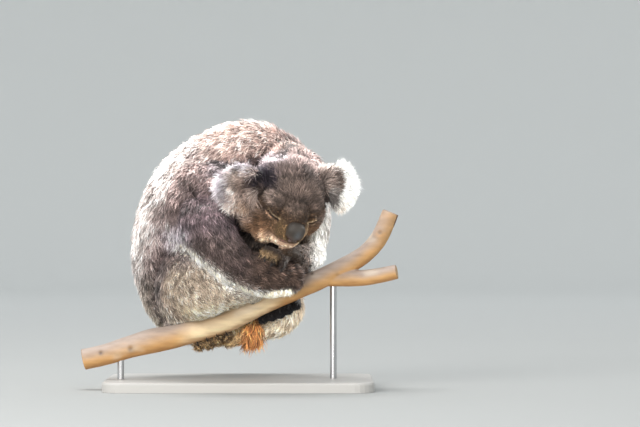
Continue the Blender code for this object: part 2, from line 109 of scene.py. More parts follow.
DIGIT_L_R = 0.76
CLAW_LENGTH, CLAW_R = 1.7, 0.34


# ------------------------------------------------------------------ small helpers
def unit(v):
    v = np.asarray(v, float)
    return v / np.maximum(np.linalg.norm(v, axis=-1, keepdims=True), 1e-12)


def smoothstep(low, high, x):
    t = np.clip((x - low) / (high - low), 0.0, 1.0)
    return t * t * (3 - 2 * t)


def mix(a, b, t):
    t = np.asarray(t)[..., None] if np.ndim(t) else t
    return np.asarray(a) * (1 - t) + np.asarray(b) * t


def srgb(r, g, b):
    """A colour written as screen values 0-255, as linear light."""
    c = np.array([r, g, b]) / 255.0
    return np.where(c <= 0.04045, c / 12.92, ((c + 0.055) / 1.055) ** 2.4)


class Noise:
    """Smooth seeded noise in -1..1 over points in metres, by trilinear lattice values."""

    def __init__(self, seed):
        self.table = np.random.default_rng(seed).uniform(-1, 1, 8192)

    def at(self, points, size):
        p = points / size
        base = np.floor(p).astype(np.int64)
        f = p - base
        f = f * f * (3 - 2 * f)
        total = np.zeros(len(p))
        for dx in (0, 1):
            for dy in (0, 1):
                for dz in (0, 1):
                    key = (base[:, 0] + dx) * 73856093 ^ (base[:, 1] + dy) * 19349663 ^ (base[:, 2] + dz) * 83492791
                    weight = (np.where(dx, f[:, 0], 1 - f[:, 0]) * np.where(dy, f[:, 1], 1 - f[:, 1])
                              * np.where(dz, f[:, 2], 1 - f[:, 2]))
                    total += self.table[key % 8192] * weight
        return total

    def rough(self, points, size, octaves=3):
        return sum(self.at(points + 7.1 * k, size / 2 ** k) / 2 ** k for k in range(octaves)) / 1.5


NOISE = Noise(11)


def mesh_object(name, verts, faces, smooth=True):
    mesh = bpy.data.meshes.new(name)
    mesh.from_pydata([tuple(v) for v in verts], [], [tuple(f) for f in faces])
    obj = bpy.data.objects.new(name, mesh)
    bpy.context.scene.collection.objects.link(obj)
    if smooth:
        mesh.shade_smooth()
    return obj


def points_of(mesh):
    co = np.empty(len(mesh.vertices) * 3)
    mesh.vertices.foreach_get("co", co)
    return co.reshape(-1, 3)


def put_points(mesh, co):
    mesh.vertices.foreach_set("co", np.ascontiguousarray(co, np.float32).ravel())
    mesh.update()


def normals_of(mesh):
    n = np.empty(len(mesh.vertices) * 3)
    mesh.vertices.foreach_get("normal", n)
    return n.reshape(-1, 3)


def paint(mesh, colours, name="Coat"):
    layer = mesh.color_attributes.get(name) or mesh.color_attributes.new(name, "FLOAT_COLOR", "POINT")
    rgba = np.ones((len(mesh.vertices), 4), np.float32)
    rgba[:, :3] = np.clip(colours, 0, 1)
    layer.data.foreach_set("color", rgba.ravel())
    mesh.color_attributes.active_color = layer


def evaluated(obj, name):
    """The object's mesh with its modifiers applied, as a new object."""
    bpy.context.view_layer.update()
    mesh = bpy.data.meshes.new_from_object(obj.evaluated_get(bpy.context.evaluated_depsgraph_get()))
    bpy.data.objects.remove(obj)
    mesh.name = name
    made = bpy.data.objects.new(name, mesh)
    bpy.context.scene.collection.objects.link(made)
    return made


# ------------------------------------------------------------------ tubes and ellipsoids
def through(stations, steps):
    rows = np.array([(*s[:4], s[4] if len(s) > 4 else s[3]) for s in stations], float)
    if len(rows) == 2:
        t = np.linspace(0, 1, steps + 1)[:, None]
        return rows[0] * (1 - t) + rows[1] * t
    ends = np.vstack([rows[0] * 2 - rows[1], rows, rows[-1] * 2 - rows[-2]])
    made = []
    for i in range(1, len(ends) - 2):
        a, b, c, d = ends[i - 1:i + 3]
        for k in range(steps):
            t = k / steps
            made.append(0.5 * (2 * b + (c - a) * t + (2 * a - 5 * b + 4 * c - d) * t ** 2
                               + (3 * b - a - 3 * c + d) * t ** 3))
    return np.array(made + [rows[-1]])


class Tube:
    """A round-ended tube through (x, y, z, half-width, half-depth) cm, thinner than that by the coat's depth."""

    def __init__(self, stations, depth=0.0, across=(0, 1, 0), steps=8):
        rows = through(stations, steps)
        share = np.linspace(0, 1, len(rows))
        thin = np.interp(share, np.linspace(0, 1, np.size(depth)), np.atleast_1d(depth))
        self.c = rows[:, :3] * CM
        self.a, self.b = (rows[:, 3] - thin) * CM, (rows[:, 4] - thin) * CM
        tangent = np.gradient(self.c, axis=0)
        self.t = unit(tangent)
        side, sides = np.array(across, float), []
        for t in self.t:
            side = unit(side - t * (side @ t))
            sides.append(side)
        self.s = np.array(sides)
        self.u = np.cross(self.t, self.s)

    def mesh(self, sides=40, cap=7, flat=False):
        turn = np.linspace(0, 2 * math.pi, sides, endpoint=False)
        rings = []

        def ring(centre, i, share):
            rings.append(centre + np.outer(np.cos(turn), self.s[i]) * self.a[i] * share
                         + np.outer(np.sin(turn), self.u[i]) * self.b[i] * share)
        size0, size1 = min(self.a[0], self.b[0]), min(self.a[-1], self.b[-1])
        if not flat:
            for k in range(cap - 1, 0, -1):
                e = math.pi / 2 * k / cap
                ring(self.c[0] - self.t[0] * size0 * math.sin(e), 0, math.cos(e))
        for i in range(len(self.c)):
            ring(self.c[i], i, 1.0)
        if not flat:
            for k in range(1, cap):
                e = math.pi / 2 * k / cap
                ring(self.c[-1] + self.t[-1] * size1 * math.sin(e), -1, math.cos(e))
        verts = np.vstack(rings)
        faces, n = [], len(rings)
        for i in range(n - 1):
            for k in range(sides):
                j = (k + 1) % sides
                faces.append((i * sides + k, i * sides + j, (i + 1) * sides + j, (i + 1) * sides + k))
        first, last = len(verts), len(verts) + 1
        tip0 = self.c[0] - (0 if flat else self.t[0] * size0)
        tip1 = self.c[-1] + (0 if flat else self.t[-1] * size1)
        verts = np.vstack([verts, tip0, tip1])
        for k in range(sides):
            j = (k + 1) % sides
            faces.append((first, j, k))
            faces.append((last, (n - 1) * sides + k, (n - 1) * sides + j))
        return verts, faces

    def field(self, p):
        """Distance outside the tube (about), share along it, angle round it, and its direction there."""
        best = np.full(len(p), 1e9)
        along, angle = np.zeros(len(p)), np.zeros(len(p))
        way = np.zeros((len(p), 3))
        step = max(1, (len(self.c) - 1) // 12)
        marks = list(range(0, len(self.c) - 1, step)) + [len(self.c) - 1]
        for i, j in zip(marks, marks[1:]):
            seg = self.c[j] - self.c[i]
            t = np.clip((p - self.c[i]) @ seg / (seg @ seg), 0, 1)
            q = p - (self.c[i] + t[:, None] * seg)
            a, b = self.a[i] * (1 - t) + self.a[j] * t, self.b[i] * (1 - t) + self.b[j] * t
            side = self.s[i] * (1 - t[:, None]) + self.s[j] * t[:, None]
            up = self.u[i] * (1 - t[:, None]) + self.u[j] * t[:, None]
            x, y = (q * side).sum(1), (q * up).sum(1)
            direction = unit(seg)
            z = q @ direction
            size = np.minimum(a, b)
            d = (np.sqrt((x / a) ** 2 + (y / b) ** 2 + (z / size) ** 2) - 1) * size
            less = d < best
            best[less] = d[less]
            along[less] = ((i + t * (j - i)) / (len(self.c) - 1) + z / 0.3)[less]
            angle[less] = np.arctan2(y, x)[less]
            way[less] = direction
        return best, along, angle, way


class Ball:
    """An ellipsoid; turn's columns are its own axes."""

    def __init__(self, centre, sizes, turn=None):
        self.c, self.r = np.array(centre, float) * CM, np.array(sizes, float) * CM
        self.turn = np.eye(3) if turn is None else np.array(turn)

    def mesh(self, sides=48, rings=28):
        verts = [(0, 0, 1)]
        for i in range(1, rings):
            e = math.pi * i / rings
            for k in range(sides):
                w = 2 * math.pi * k / sides
                verts.append((math.sin(e) * math.cos(w), math.sin(e) * math.sin(w), math.cos(e)))
        verts.append((0, 0, -1))
        last = len(verts) - 1
        faces = []
        for k in range(sides):
            j = (k + 1) % sides
            faces.append((0, 1 + k, 1 + j))
            faces.append((last, last - sides + j, last - sides + k))
            for i in range(rings - 2):
                a, b = 1 + i * sides, 1 + (i + 1) * sides
                faces.append((a + k, b + k, b + j, a + j))
        return (np.array(verts) * self.r) @ self.turn.T + self.c, faces

    def field(self, p):
        q = (p - self.c) @ self.turn
        rho = np.sqrt(((q / self.r) ** 2).sum(1))
        return (rho - 1) * self.r.min(), np.full(len(p), 0.5), np.arctan2(q[:, 1], q[:, 0]), None


# ------------------------------------------------------------------ the head's and the branch's own frames
F = unit(HEAD_FORWARD)
L = np.array(HEAD_LEFT, float)
L = unit(L - F * (F @ L))
U = np.cross(F, L)
HEAD = np.column_stack([F, L, U])


def on_head(point):
    return np.array(HEAD_AT) + HEAD @ np.array(point, float)


def in_head(p):
    """Points in metres, as (forward, left, up) in cm."""
    return (p / CM - np.array(HEAD_AT)) @ HEAD


BRANCH_LINE = through(BRANCH, 12)


def on_branch(x, angle, distance):
    after = int(np.argmax(BRANCH_LINE[:, 0] >= x))
    a, b = BRANCH_LINE[after - 1], BRANCH_LINE[after]
    t = (x - a[0]) / (b[0] - a[0])
    centre = a * (1 - t) + b * t
    along = unit(b[:3] - a[:3])
    front = np.array([0, -1.0, 0])
    front = unit(front - along * (along @ front))
    top = np.cross(front, along)
    if top[2] < 0:
        top = -top
    turn = math.radians(angle)
    out = front * math.cos(turn) + top * math.sin(turn)
    return centre[:3] + out * distance, along, out, centre[3]


def ear_frame(side, at):
    facing = unit([EAR_FACING[0], EAR_FACING[1] * side, EAR_FACING[2]])
    up = unit(np.array([0, 0, 1.0]) - facing * facing[2])
    turn = HEAD @ np.column_stack([facing, np.cross(up, facing), up])
    return on_head((at[0], at[1] * side, at[2])), turn


# ------------------------------------------------------------------ colours (linear)
BACK = srgb(150, 130, 126)
BACK_DARK = srgb(78, 64, 65)
RUMP = srgb(182, 167, 160)
FLANK = srgb(150, 134, 128)
ARM = srgb(72, 58, 56)
ARM_UPPER = srgb(106, 90, 95)
THIGH = srgb(188, 169, 150)
CREAM = srgb(238, 224, 202)
WHITE = srgb(250, 246, 238)
FOREHEAD = srgb(62, 48, 41)
BROW = srgb(66, 47, 31)
CHEEK = srgb(108, 80, 58)
MUZZLE = srgb(104, 80, 52)
CHIN = srgb(255, 212, 180)
BLACK = srgb(27, 24, 26)
RUST = srgb(206, 140, 82)
UNDER = srgb(208, 172, 124)
EAR_IN = srgb(236, 214, 202)
EAR_TAN = srgb(104, 84, 74)
LILAC = srgb(226, 218, 228)
SKIN_PINK = srgb(206, 146, 128)


# ------------------------------------------------------------------ the parts of flesh
# name: shape, coat piece, coat length cm, colour, blade width mm, how far tufts stand off the skin (0-1)
def digit_path(digit, fat=1.0):
    from_x, to_x, start, end, radius = digit
    rows = []
    for k in range(13):
        share = k / 12
        at, bend = from_x + (to_x - from_x) * share, start + (end - start) * share
        thick = radius * (1.08 - 0.25 * share) * (fat + (0.16 * share if fat > 1 else 0))
        rows.append((*on_branch(at, bend, on_branch(at, bend, 0)[3] + thick + 0.06)[0], thick, thick))
    return rows


def palm_ball(palm, thin):
    x, angle, distance, sizes = palm
    centre, along, out, _ = on_branch(x, angle, distance)
    return Ball(centre, [s - thin for s in sizes], np.column_stack([along, out, np.cross(along, out)]))


PARTS = {}


def part(name, shape, piece, length, colour, width=1.1, stand=0.35, flow=None):
    PARTS[name] = dict(shape=shape, piece=piece, length=length * CM, colour=np.array(colour), width=width / 1000,
                       stand=stand, flow=flow)


def with_gravity(sign, pull):
    return lambda p, way: unit(sign * way + pull * DOWN)


part("spine", Tube(TRUNK, 1.7), "coat_trunk", 2.5, BACK, 1.45, 0.62, with_gravity(-1, 0.55))
part("chest", Tube(CHEST, 1.6), "coat_trunk", 2.2, CREAM, 1.45, 0.42, with_gravity(-1, 0.8))
part("shoulder_left", Ball(SHOULDERS[0][0], [s - 1.5 for s in SHOULDERS[0][1]]), "coat_trunk", 2.4, BACK, 1.45, 0.55,
     lambda p, way: unit(np.array([0.1, 0.3, -1.0]) + p * 0))
part("shoulder_right", Ball(SHOULDERS[1][0], [s - 1.6 for s in SHOULDERS[1][1]]), "coat_trunk", 2.3, BACK, 1.45, 0.46,
     lambda p, way: unit(np.array([-0.6, -0.1, -0.8]) + p * 0))
part("shoulder_fill", Tube([(-7.2, -4.2, 36.2, 4.4, 4.4), (-9.0, -5.0, 32.6, 4.0, 4.0), (-9.3, -5.6, 29.2, 3.0, 3.0)], 0.7), "coat_trunk",
     2.3, BACK, 1.45, 0.46, with_gravity(1, 0.4))
part("neck", Tube(NECK, (1.6, 1.3), (1, 0, 0)), "coat_trunk", 2.2, BACK, 1.4, 0.55, with_gravity(-1, 0.2))
part("arm_right", Tube(ARM_R, (1.3, 1.1)), "coat_arm_right", 2.0, ARM, 1.3, 0.40, with_gravity(1, 0.3))
part("forearm_right", Tube(FOREARM_R, (0.95, 0.75)), "coat_arm_right", 1.7, ARM, 1.25, 0.36, with_gravity(1, 0.25))
part("arm_left", Tube(ARM_L, 1.2), "coat_leg_left", 2.0, FLANK, 1.4, 0.42, with_gravity(1, 0.3))
part("forearm_left", Tube(FOREARM_L, (1.0, 0.6), (1, 0, 0)), "coat_leg_left", 1.5, ARM, 1.3, 0.34, with_gravity(1, 0.3))
part("thigh_right", Tube(THIGH_R, (1.5, 0.9)), "coat_thigh_right", 1.9, THIGH, 1.35, 0.42, with_gravity(0.7, 0.7))
part("thigh_left", Tube(THIGH_L, 1.4), "coat_leg_left", 2.1, CREAM, 1.4, 0.42, with_gravity(0.8, 0.6))
part("shank_right", Tube(SHANK_R, 0.6), "coat_paws", 1.0, CREAM, 1.1, 0.3, with_gravity(1, 0.2))
part("shank_left", Tube(SHANK_L, 0.8), "coat_leg_left", 1.6, UNDER, 1.3, 0.45, with_gravity(1, 0.2))


def from_nose(pull):
    nose = on_head((8.6, 0, 0.2)) * CM

    def flow(p, way):
        return unit(unit(p - nose) + pull * DOWN)
    return flow


SKULL = [
    ((-0.6, 0.0, 0.9), (7.5, 7.2, 6.6), False, 0.85, 1.7, FOREHEAD),
    ((0.4, 3.6, -1.3), (5.2, 4.0, 4.8), True, 0.40, 1.4, FOREHEAD),
    ((-0.6, -3.9, -2.0), (5.4, 4.4, 5.7), False, 0.15, 1.9, CHEEK),
    ((5.2, 0.0, -1.2), (4.3, 3.9, 3.6), False, 0.40, 0.50, MUZZLE),
    ((4.4, 0.0, 1.3), (3.8, 3.3, 2.9), False, 0.45, 0.7, FOREHEAD),
    ((4.5, 0.0, -3.5), (4.0, 3.1, 2.4), False, 0.15, 0.50, CHIN),
    ((3.0, 3.1, 2.2), (3.0, 2.6, 2.3), True, 0.35, 0.8, FOREHEAD),
    ((4.55, 3.15, 0.35), (1.55, 1.45, 1.35), True, 0.0, 0.5, FOREHEAD),       # flesh round the eye
    ((2.5, -2.6, -3.8), (3.7, 2.7, 3.0), False, -0.15, 1.6, CHEEK),             # right jaw, down to the chin
    ((1.9, 2.4, -2.9), (3.3, 2.3, 2.5), False, 0.2, 1.2, MUZZLE),              # left jaw
]
for n, (centre, sizes, paired, thin, length, colour) in enumerate(SKULL):
    for side in ((1, -1) if paired else (1,)):
        part(f"skull_{n}_{'l' if side > 0 else 'r'}",
             Ball(on_head((centre[0], centre[1] * side, centre[2])), [s - thin for s in sizes], HEAD),
             "coat_head", length, colour, 0.80, 0.36, from_nose(0.20))

EARS = {}
for name, side, at in (("left", 1, EAR_LEFT_AT), ("right", -1, EAR_RIGHT_AT)):
    middle, turn = ear_frame(side, at)
    inward = -HEAD @ np.array([0, side, 0.0])          # towards the skull
    middle = middle + inward * 0.9
    EARS[name] = (middle * CM, turn, side)
    part(f"ear_{name}", Ball(middle, (0.62, 3.25, 3.35), turn), f"coat_ear_{name}", 3.0, EAR_IN, 0.95, 0.5)
    root = on_head((at[0] - 0.3, 6.3 * side, at[2] - 0.2))
    part(f"ear_root_{name}", Ball(root, (2.0, 2.8, 2.8), HEAD), "coat_head", 2.1, FOREHEAD, 0.9, 0.45, from_nose(0.25))

part("palm_hand_right", palm_ball(HAND_R_PALM, 0.30), "coat_arm_right", 1.3, ARM, 1.1, 0.36, lambda p, way: unit(np.array([0.8, 0.7, -0.1]) + p * 0))
part("wrist_hand_right", Tube([(*FOREARM_R[-1][:3], 2.8, 3.0), (8.4, -5.6, 20.0, 2.7, 2.4)], 0.4), "coat_arm_right", 1.3, ARM, 1.1, 0.34, with_gravity(1, 0.1))
for n, digit in enumerate(HAND_R_DIGITS, 1):
    part(f"digit_hand_right_{n}", Tube(digit_path(digit, 1.06), 0.06, on_branch(digit[0], 0, 0)[1], 1), "coat_paws", 0.55, BLACK, 0.8, 0.32, with_gravity(1, 0.1))
part("palm_foot_right", palm_ball(FOOT_R_PALM, 0.25), "coat_paws", 0.6, CREAM * 0.9, 0.8, 0.25, lambda p, way: unit(np.array([0.2, 0.9, 0.2]) + p * 0))
for n, digit in enumerate(FOOT_R_DIGITS, 1):
    part(f"digit_foot_right_{n}", Tube(digit_path(digit), 0.15, on_branch(digit[0], 0, 0)[1], 1), "coat_paws", 0.7, BLACK, 0.8, 0.3, with_gravity(1, 0))
part("palm_foot_left", palm_ball(FOOT_L_PALM, 0.3), "coat_paws", 0.9, UNDER, 0.8, 0.3, lambda p, way: unit(np.array([0.0, -0.9, -0.3]) + p * 0))
for n, digit in enumerate(FOOT_L_DIGITS, 1):
    part(f"digit_foot_left_{n}", Tube(digit_path(digit), 0.15, on_branch(digit[0], 0, 0)[1], 1), "coat_paws", 1.5, UNDER * 0.7, 1.2, 0.6, with_gravity(1, 0.4))
part("palm_hand_left", Tube(HAND_L_PALM, 0.28, (1, 0, 0)), "coat_paws", 0.8, srgb(92, 74, 58), 0.8, 0.3, with_gravity(1, 0))
for n, (knuckle, tip) in enumerate(HAND_L_DIGITS, 1):
    a, b = np.array(knuckle), np.array(tip)
    middle = a * 0.45 + b * 0.55 + np.array([0, 0, 0.5])
    part(f"digit_hand_left_{n}", Tube([(*a, DIGIT_L_R * 1.1), (*middle, DIGIT_L_R), (*b, DIGIT_L_R * 0.85)], 0.15, steps=4),
         "coat_paws", 0.95, srgb(52, 41, 35), 0.9, 0.36, with_gravity(1, 0.1))


# ------------------------------------------------------------------ the skin
def build_skin():
    verts, faces, count = [], [], 0
    for name, p in PARTS.items():
        v, f = p["shape"].mesh()
        if name.startswith("ear_") and not name.startswith("ear_root"):
            middle, turn, side = EARS[name[4:]]
            q = (v - middle) @ turn
            spread = (q[:, 1] ** 2 + q[:, 2] ** 2) / 0.034 ** 2
            q[:, 0] += 0.0085 * (spread - 0.35)                  # a dish, its rim turned forward
            v = q @ turn.T + middle
        verts.append(v)
        faces += [tuple(i + count for i in face) for face in f]
        count += len(v)
    rough = mesh_object("skin_rough", np.vstack(verts), faces)
    m = rough.modifiers.new("fuse", "REMESH")
    m.mode, m.voxel_size, m.adaptivity = "VOXEL", 0.0023, 0.0
    m = rough.modifiers.new("even", "SMOOTH")
    m.factor, m.iterations = 0.5, 7
    m = rough.modifiers.new("thin", "DECIMATE")
    m.ratio = 0.42
    skin = evaluated(rough, "koala_skin")
    bm = bmesh.new()
    bm.from_mesh(skin.data)
    # Only the outer shell is kept: any pocket inside the fused flesh is another, smaller island.
    islands, seen = [], set()
    for start in bm.verts:
        if start.index in seen:
            continue
        seen.add(start.index)
        island, todo = [start], [start]
        while todo:
            for edge in todo.pop().link_edges:
                for other in edge.verts:
                    if other.index not in seen:
                        seen.add(other.index)
                        island.append(other)
                        todo.append(other)
        islands.append(island)
    islands.sort(key=len)
    for island in islands[:-1]:
        bmesh.ops.delete(bm, geom=island, context="VERTS")
    # Finer faces where the face needs folds and lids.
    for low_f, reach, eye_only in ((3.0, 99.0, 0), (3.2, 1.7, 1), (3.2, 1.25, 2)):
        bm.verts.ensure_lookup_table()
        co = in_head(np.array([v.co[:] for v in bm.verts]))
        near_eye = np.minimum(*[np.linalg.norm(co - np.array([EYE_AT[0], EYE_AT[1] * s, EYE_AT[2]]), axis=1) for s in (1, -1)])
        inside = (co[:, 0] > low_f) & (np.abs(co[:, 1]) < 5.4) & (co[:, 2] > -5.8) & (co[:, 2] < 3.2)
        if eye_only == 2:
            inside &= near_eye < reach
        elif eye_only:
            inside &= (near_eye < reach) | ((co[:, 2] < -2.2) & (co[:, 2] > -4.2) & (co[:, 0] > 4.6) & (np.abs(co[:, 1]) < 3.4))
        edges = [e for e in bm.edges if inside[e.verts[0].index] and inside[e.verts[1].index]]
        bmesh.ops.subdivide_edges(bm, edges=edges, cuts=1, use_grid_fill=True)
        bm.verts.index_update()
    bmesh.ops.triangulate(bm, faces=bm.faces)
    bm.to_mesh(skin.data)
    bm.free()
    return skin


def groove(p, line, depth, width, side_both=True):
    """How far points in the head frame sink along a line of (f, l, u), cm."""
    line = np.array(line, float)
    if side_both:
        p = p * np.array([1, -1, 1]) * np.where(p[:, 1:2] < 0, 1, 0) + p * np.where(p[:, 1:2] < 0, 0, 1)
    best = np.full(len(p), 1e9)
    for a, b in zip(line, line[1:]):
        seg = b - a
        t = np.clip((p - a) @ seg / (seg @ seg), 0, 1)
        best = np.minimum(best, np.linalg.norm(p - (a + t[:, None] * seg), axis=1))
    return depth * np.exp(-(best / width) ** 2)


GAZE = {}
for side in (1, -1):
    g = unit([0.80, 0.52 * side, 0.28])
    s = np.array([0.51, -0.83 * side, -0.26])
    s = unit(s - g * (g @ s))
    GAZE[side] = (np.array([EYE_AT[0], EYE_AT[1] * side, EYE_AT[2]]), g, s, np.cross(g, s) * (-side))
MOUTH = [(8.35, 0.0, -3.05), (7.9, 1.2, -3.25), (6.9, 2.2, -3.2), (5.6, 3.0, -2.8)]


def sculpt(skin):
    co = points_of(skin.data)
    normal = normals_of(skin.data)
    h = in_head(co)
    n = normal @ HEAD
    face = smoothstep(1.5, 3.2, h[:, 0])
    sink = groove(h, MOUTH, 0.34, 0.20) - groove(h, [(a, b, c + 0.45) for a, b, c in MOUTH[:3]], 0.10, 0.30)
    sink -= groove(h, [(a - 0.2, b, c - 0.5) for a, b, c in MOUTH[:3]], 0.16, 0.35)      # the lower lip's roll
    sink += groove(h, [(6.9, 2.1, 0.6), (7.6, 2.25, -0.8), (7.4, 2.3, -2.0)], 0.12, 0.35)    # hollow beside the nose pad
    sink += groove(h, [(3.9, 4.6, 1.4), (5.0, 4.3, 1.6), (6.1, 3.0, 1.5)], 0.10, 0.30)       # fold over the upper lid
    sink += groove(h, [(4.4, 4.7, -0.9), (5.6, 3.9, -1.0), (6.6, 2.8, -0.6)], 0.10, 0.32)    # fold under the lower lid
    gap = np.sqrt((h[:, 1] / 1.74) ** 2 + ((h[:, 2] + 0.29) / 1.92) ** 2)
    h = h - n * (sink * face)[:, None]
    h[:, 0] += 0.42 * np.exp(-((gap - 1.02) / 0.24) ** 2) * smoothstep(6.2, 7.2, h[:, 0])
    for side, (centre, g, s, q) in GAZE.items():
        v = h - centre
        r = np.linalg.norm(v, axis=1)
        d = v / r[:, None]
        cosg = d @ g
        x, y = d @ s, d @ q                                   # along the slit and across it, in radii
        y = y + 0.10 * x * x - 0.02
        hold = (1 - smoothstep(1.15, 1.75, r)) * smoothstep(0.10, 0.50, cosg)
        lid = EYE_R + 0.10
        half = 0.105 * np.sqrt(np.clip(1 - ((x - 0.10) / 0.78) ** 2, 0, 1))
        open_ = 1 - smoothstep(half * 0.75, half + 0.03, np.abs(y))
        open_ *= (np.abs(x - 0.10) < 0.78)
        rim = np.exp(-((np.abs(y) - half - 0.09) / 0.075) ** 2) * (np.abs(x) < 0.95) * 0.11
        crease = -0.10 * np.exp(-((y - 0.55) / 0.10) ** 2) - 0.08 * np.exp(-((y + 0.50) / 0.10) ** 2)
        target = lid + rim + crease * smoothstep(0.95, 0.5, np.abs(x)) - open_ * 0.34
        h = h + d * ((target - r) * hold)[:, None]
        # No part of the ball shows but through the slit.
        v = h - centre
        r = np.linalg.norm(v, axis=1)
        short = np.clip(EYE_R + 0.07 - r, 0, None) * (1 - open_) * (r < 2.0)
        h = h + v / r[:, None] * short[:, None]
    co = (h @ HEAD.T + np.array(HEAD_AT)) * CM
    # The flank folds in where the thigh and the arm press on it.
    side = smoothstep(1.0, -1.5, co[:, 1] / CM)
    fold = 0.85 * np.exp(-(side_line_distance(co, CREASE)[0] / 0.95) ** 2) + 0.7 * np.exp(-(side_line_distance(co, ARM_FOLD)[0] / 0.9) ** 2)
    co = co - normal * (fold * side * CM)[:, None]
    put_points(skin.data, co)


def slit_place(h):
    """For points in the head frame: nearness to the eye and place along and across its slit, for both eyes."""
    out = []
    for side, (centre, g, s, q) in GAZE.items():
        v = h - centre
        r = np.linalg.norm(v, axis=1)
        d = v / r[:, None]
        out.append((r, d @ s, d @ q + 0.10 * (d @ s) ** 2 - 0.02, d @ g))
    return out


# ------------------------------------------------------------------ what the coat does at each point of the skin
def line_distance(p, line):
    """Distance in cm from points (m) to a polyline (cm), and the share along it."""
    line = np.array(line, float) * CM
    best, share = np.full(len(p), 1e9), np.zeros(len(p))
    for i, (a, b) in enumerate(zip(line, line[1:])):
        seg = b - a
        t = np.clip((p - a) @ seg / (seg @ seg), 0, 1)
        d = np.linalg.norm(p - (a + t[:, None] * seg), axis=1)
        less = d < best
        best[less], share[less] = d[less], ((i + t) / (len(line) - 1))[less]
    return best / CM, share


def side_line_distance(p, line):
    """The same in the X-Z plane, for marks that run down the animal's right side."""
    flat = p.copy()
    flat[:, 1] = 0
    return line_distance(flat, [(x, 0, z) for x, z in line])


FRINGE = [(-12.5, 29.2), (-10.9, 25.8), (-8.1, 23.2), (-5.8, 21.2), (-3.2, 19.0), (0.2, 17.3), (4.5, 16.4), (9.0, 16.2)]
CREASE = [(-12.4, 25.2), (-14.0, 23.2), (-15.1, 20.9), (-15.6, 17.8), (-15.2, 15.3), (-14.4, 13.7), (-13.6, 12.8)]
ARM_FOLD = [(-7.9, 36.5), (-7.2, 34.6), (-6.4, 33.6)]


def band(low, high, soft, v):
    """One between low and high, falling off over soft either side."""
    return smoothstep(low - soft, low + soft, v) * smoothstep(high + soft, high - soft, v)


